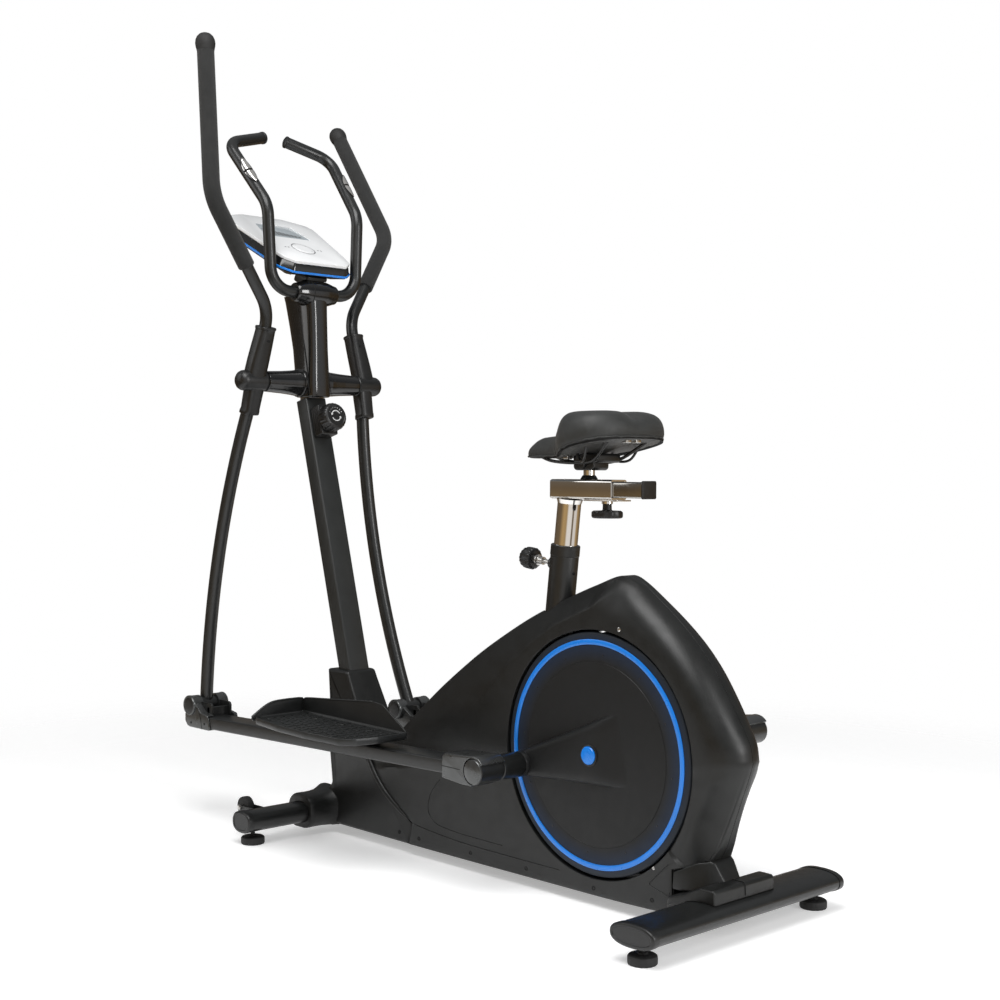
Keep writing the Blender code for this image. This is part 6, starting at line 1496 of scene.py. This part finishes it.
def puff(obj):
    """Let the vinyl swell a little over its padding, by cloth simulation, then smooth it."""
    remesh = obj.modifiers.new("remesh", "REMESH")
    remesh.mode, remesh.voxel_size = "VOXEL", PUFF_VOXEL
    apply_modifiers(obj)
    start = [v.co.copy() for v in obj.data.vertices]
    cloth = obj.modifiers.new("cloth", "CLOTH")
    cloth.settings.use_pressure = True
    cloth.settings.uniform_pressure_force = PUFF_PRESSURE
    cloth.settings.effector_weights.gravity = 0.0
    cloth.settings.tension_stiffness = 40
    cloth.settings.compression_stiffness = 40
    for k in range(1, PUFF_FRAMES + 1):
        bpy.context.scene.frame_set(k)
    apply_modifiers(obj)
    for vert, home in zip(obj.data.vertices, start):
        step = vert.co - home
        if step.length > PUFF_TRAVEL:
            vert.co = home + step.normalized() * PUFF_TRAVEL
    smooth = obj.modifiers.new("smooth", "SMOOTH")
    smooth.factor, smooth.iterations = 0.5, 6
    finer = obj.modifiers.new("finer", "SUBSURF")
    finer.levels = finer.render_levels = 1
    apply_modifiers(obj)
    obj.data.shade_smooth()
    bpy.context.scene.frame_set(1)


def make_seat_knobs():
    rows, count = [], 96
    for radius, along, rib in ((0.0080, 0.0800, 0), (0.0170, 0.0800, 0), (0.0205, 0.0822, 0.4),
                               (0.0216, 0.0850, 1), (0.0214, 0.0960, 1), (0.0205, 0.1040, 1),
                               (0.0185, 0.1082, 0.5), (0.0150, 0.1100, 0), (0.0090, 0.1104, 0),
                               (0.0030, 0.1104, 0)):
        rows.append([((radius + 0.0010 * rib * math.cos(16 * 2 * math.pi * k / count))
                      * math.cos(2 * math.pi * k / count),
                      (radius + 0.0010 * rib * math.cos(16 * 2 * math.pi * k / count))
                      * math.sin(2 * math.pi * k / count), along) for k in range(count)])
    place = SEAT @ at(0, 0, PIN_ALONG) @ aim((0, 0, 0), (0, -1, 0))
    piece("height_knob_grip", skin(rows), place, "height_knob", PLASTIC, "seat_height_knob")
    collar = [lathe([(0, 0.0560), (0.0080, 0.0560), (0.0080, 0.0690), (0.0110, 0.0700),
                     (0.0110, 0.0730), (0.0090, 0.0740), (0.0090, 0.0802), (0, 0.0802)], steps=48),
              lathe([(0, 0.0245), (0.0044, 0.0245), (0.0044, 0.0570), (0, 0.0570)], steps=32)]
    piece("height_knob_pin", collar, place, "height_knob", BOLT)
    rows, count = [], 96
    for radius, along, rib in ((0.0045, 0.0030, 0), (0.0045, -0.0004, 0), (0.0084, -0.0012, 0),
                               (0.0090, -0.0190, 0), (0.0110, -0.0205, 0), (0.0270, -0.0210, 0),
                               (0.0296, -0.0228, 0.6), (0.0302, -0.0255, 1), (0.0302, -0.0315, 1),
                               (0.0292, -0.0345, 0.6), (0.0260, -0.0356, 0), (0.0030, -0.0356, 0)):
        rows.append([((radius + 0.0008 * rib * math.cos(12 * 2 * math.pi * k / count))
                      * math.cos(2 * math.pi * k / count),
                      (radius + 0.0008 * rib * math.cos(12 * 2 * math.pi * k / count))
                      * math.sin(2 * math.pi * k / count), along) for k in range(count)])
    piece("slider_knob_grip", skin(rows), WORLD @ at(0, -0.027, CARRIAGE_BOTTOM - 0.0004),
          "slider_knob", PLASTIC, "seat_slider_knob")


# ---- scene -----------------------------------------------------------------------------
def floor_finish():
    """A pale floor that fades into the white backdrop, well away from the machine."""
    mat = finish("floor_pale", (0.86, 0.86, 0.86), 0.75, mottle=0.004, specular=0.1)
    tree = mat.node_tree
    shader = tree.nodes["Principled BSDF"]
    shader.inputs["Emission Color"].default_value = (1, 1, 1, 1)
    shader.inputs["Emission Strength"].default_value = 0.36
    length = tree.nodes.new("ShaderNodeVectorMath")
    length.operation = "LENGTH"
    tree.links.new(tree.nodes.new("ShaderNodeTexCoord").outputs["Object"], length.inputs[0])
    fade = tree.nodes.new("ShaderNodeMapRange")
    fade.interpolation_type = "SMOOTHSTEP"
    fade.inputs["From Min"].default_value, fade.inputs["From Max"].default_value = 1.3, 2.6
    fade.inputs["To Min"].default_value, fade.inputs["To Max"].default_value = 1.0, 0.0
    tree.links.new(length.outputs["Value"], fade.inputs["Value"])
    tree.links.new(fade.outputs["Result"], shader.inputs["Alpha"])
    return mat


def make_stage():
    mesh = bpy.data.meshes.new("floor")
    size = 4.0
    mesh.from_pydata([(-size, -size, 0), (size, -size, 0), (size, size, 0), (-size, size, 0)], [],
                     [(0, 1, 2, 3)])
    floor = bpy.data.objects.new("floor", mesh)
    bpy.context.scene.collection.objects.link(floor)
    floor.data.materials.append(floor_finish())
    world = bpy.data.worlds.new("studio")
    bpy.context.scene.world = world
    world.use_nodes = True
    tree = world.node_tree
    backdrop = tree.nodes["Background"]
    backdrop.inputs["Color"].default_value = (1, 1, 1, 1)
    backdrop.inputs["Strength"].default_value = 1.0
    room = tree.nodes.new("ShaderNodeBackground")
    room.inputs["Strength"].default_value = 0.42
    split = tree.nodes.new("ShaderNodeSeparateXYZ")
    coord = tree.nodes.new("ShaderNodeTexCoord")
    tree.links.new(coord.outputs["Generated"], split.inputs[0])
    height = tree.nodes.new("ShaderNodeMapRange")
    height.inputs["From Min"].default_value, height.inputs["From Max"].default_value = -1.0, 1.0
    tree.links.new(split.outputs["Z"], height.inputs["Value"])
    levels = tree.nodes.new("ShaderNodeValToRGB")
    stops = levels.color_ramp.elements
    stops[0].position, stops[0].color = 0.0, (0.42, 0.36, 0.28, 1)
    stops[1].position, stops[1].color = 1.0, (1.0, 1.0, 1.0, 1)
    for position, colour in ((0.44, (0.30, 0.20, 0.10, 1)), (0.50, (0.16, 0.11, 0.07, 1)),
                             (0.56, (0.17, 0.17, 0.17, 1)), (0.72, (0.42, 0.44, 0.46, 1))):
        stops.new(position).color = colour
    tree.links.new(height.outputs["Result"], levels.inputs["Fac"])
    around = tree.nodes.new("ShaderNodeTexGradient")
    around.gradient_type = "RADIAL"
    tree.links.new(coord.outputs["Generated"], around.inputs["Vector"])
    walls = tree.nodes.new("ShaderNodeValToRGB")
    ends = walls.color_ramp.elements
    ends[0].position, ends[0].color = 0.0, (0.10, 0.07, 0.04, 1)
    ends[1].position, ends[1].color = 1.0, (0.10, 0.07, 0.04, 1)
    for azimuth, colour in ((-30, (0.10, 0.075, 0.045)), (2, (0.50, 0.33, 0.14)),
                            (30, (0.40, 0.28, 0.13)), (44, (1.0, 1.0, 1.0)), (78, (1.0, 1.0, 1.0)),
                            (86, (0.06, 0.06, 0.06)), (96, (0.08, 0.07, 0.06)),
                            (104, (0.9, 0.9, 0.9)), (128, (0.8, 0.8, 0.8)), (140, (0.42, 0.28, 0.12)),
                            (172, (0.10, 0.07, 0.04))):
        ends.new((azimuth + 180) / 360).color = (*colour, 1)
    tree.links.new(around.outputs["Fac"], walls.inputs["Fac"])
    level = tree.nodes.new("ShaderNodeMath")
    level.operation = "ABSOLUTE"
    tree.links.new(split.outputs["Z"], level.inputs[0])
    window = tree.nodes.new("ShaderNodeMapRange")
    window.inputs["From Min"].default_value, window.inputs["From Max"].default_value = 0.24, 0.34
    window.inputs["To Min"].default_value, window.inputs["To Max"].default_value = 1.7, 0.0
    tree.links.new(level.outputs[0], window.inputs["Value"])
    bands = tree.nodes.new("ShaderNodeVectorMath")
    bands.operation = "SCALE"
    tree.links.new(walls.outputs["Color"], bands.inputs[0])
    tree.links.new(window.outputs["Result"], bands.inputs["Scale"])
    whole = tree.nodes.new("ShaderNodeVectorMath")
    whole.operation = "ADD"
    tree.links.new(levels.outputs["Color"], whole.inputs[0])
    tree.links.new(bands.outputs[0], whole.inputs[1])
    tree.links.new(whole.outputs[0], room.inputs["Color"])
    mix = tree.nodes.new("ShaderNodeMixShader")
    tree.links.new(tree.nodes.new("ShaderNodeLightPath").outputs["Is Camera Ray"],
                   mix.inputs["Fac"])
    tree.links.new(room.outputs[0], mix.inputs[1])
    tree.links.new(backdrop.outputs[0], mix.inputs[2])
    tree.links.new(mix.outputs[0], tree.nodes["World Output"].inputs["Surface"])
    for name, place, target, power, size, tall in (
            ("key", (1.3, 0.9, 3.5), (0, 0, 0.4), 96, 2.2, 2.2),
            ("rear", (-0.3, 3.5, 1.6), (0, 0.6, 0.5), 52, 0.6, 2.0),
            ("front", (2.6, -2.2, 2.4), (0, -0.4, 0.9), 22, 1.6, 2.4)):
        light = bpy.data.lights.new(name, "AREA")
        light.shape, light.size, light.size_y, light.energy = "RECTANGLE", size, tall, power
        lamp = bpy.data.objects.new(name, light)
        lamp.location = place
        lamp.rotation_euler = (Vector(place) - Vector(target)).to_track_quat("Z", "Y").to_euler()
        bpy.context.scene.collection.objects.link(lamp)
    bpy.context.scene.view_settings.view_transform = "Standard"


def make_camera():
    yaw, pitch, roll = -2.33602, -0.020774, 0.006369
    forward = Vector((math.cos(pitch) * math.cos(yaw), math.cos(pitch) * math.sin(yaw),
                      math.sin(pitch)))
    right = forward.cross(Vector((0, 0, 1))).normalized()
    up = right.cross(forward)
    across = right * math.cos(roll) + up * math.sin(roll)
    above = -right * math.sin(roll) + up * math.cos(roll)
    data = bpy.data.cameras.new("camera")
    data.sensor_width, data.lens = 36.0, 55.833
    data.clip_end = 60.0
    camera = bpy.data.objects.new("camera", data)
    turn = Matrix((across, above, -forward)).transposed().to_4x4()
    camera.matrix_world = at(2.21988, CRANK_Y + 1.98581, 0.83305) @ turn
    bpy.context.scene.collection.objects.link(camera)
    bpy.context.scene.camera = camera


CARRIED = {"drive_pulley": PLASTIC, "flywheel": BARE, "drive_belt": RUBBER, "magnetic_brake": BARE}

make_camera()
make_stage()
for node, mat in CARRIED.items():
    data = NODES[node].data
    data.materials.clear()
    data.materials.append(mat)
stabiliser("front", FRONT_HALF, (FRONT_Y, FRONT_Z), FRONT_DEPTH, FRONT_HEIGHT)
stabiliser("rear", REAR_HALF, (REAR_Y, REAR_Z), REAR_DEPTH, REAR_HEIGHT)
make_feet()
make_wheels()
make_base_frame()
make_mast()
make_neck()
make_clamp()
make_handlebar()
make_console()
make_tension_knob()
for label, side in SIDES:
    make_arm(label, side)
    make_rail(label, side)
    make_crank(label, side)
    make_shell(label, side)
    make_shell_details(label, side)
make_front_cover()
make_skirt()
make_seat_post()
make_slider()
make_saddle()
make_seat_knobs()
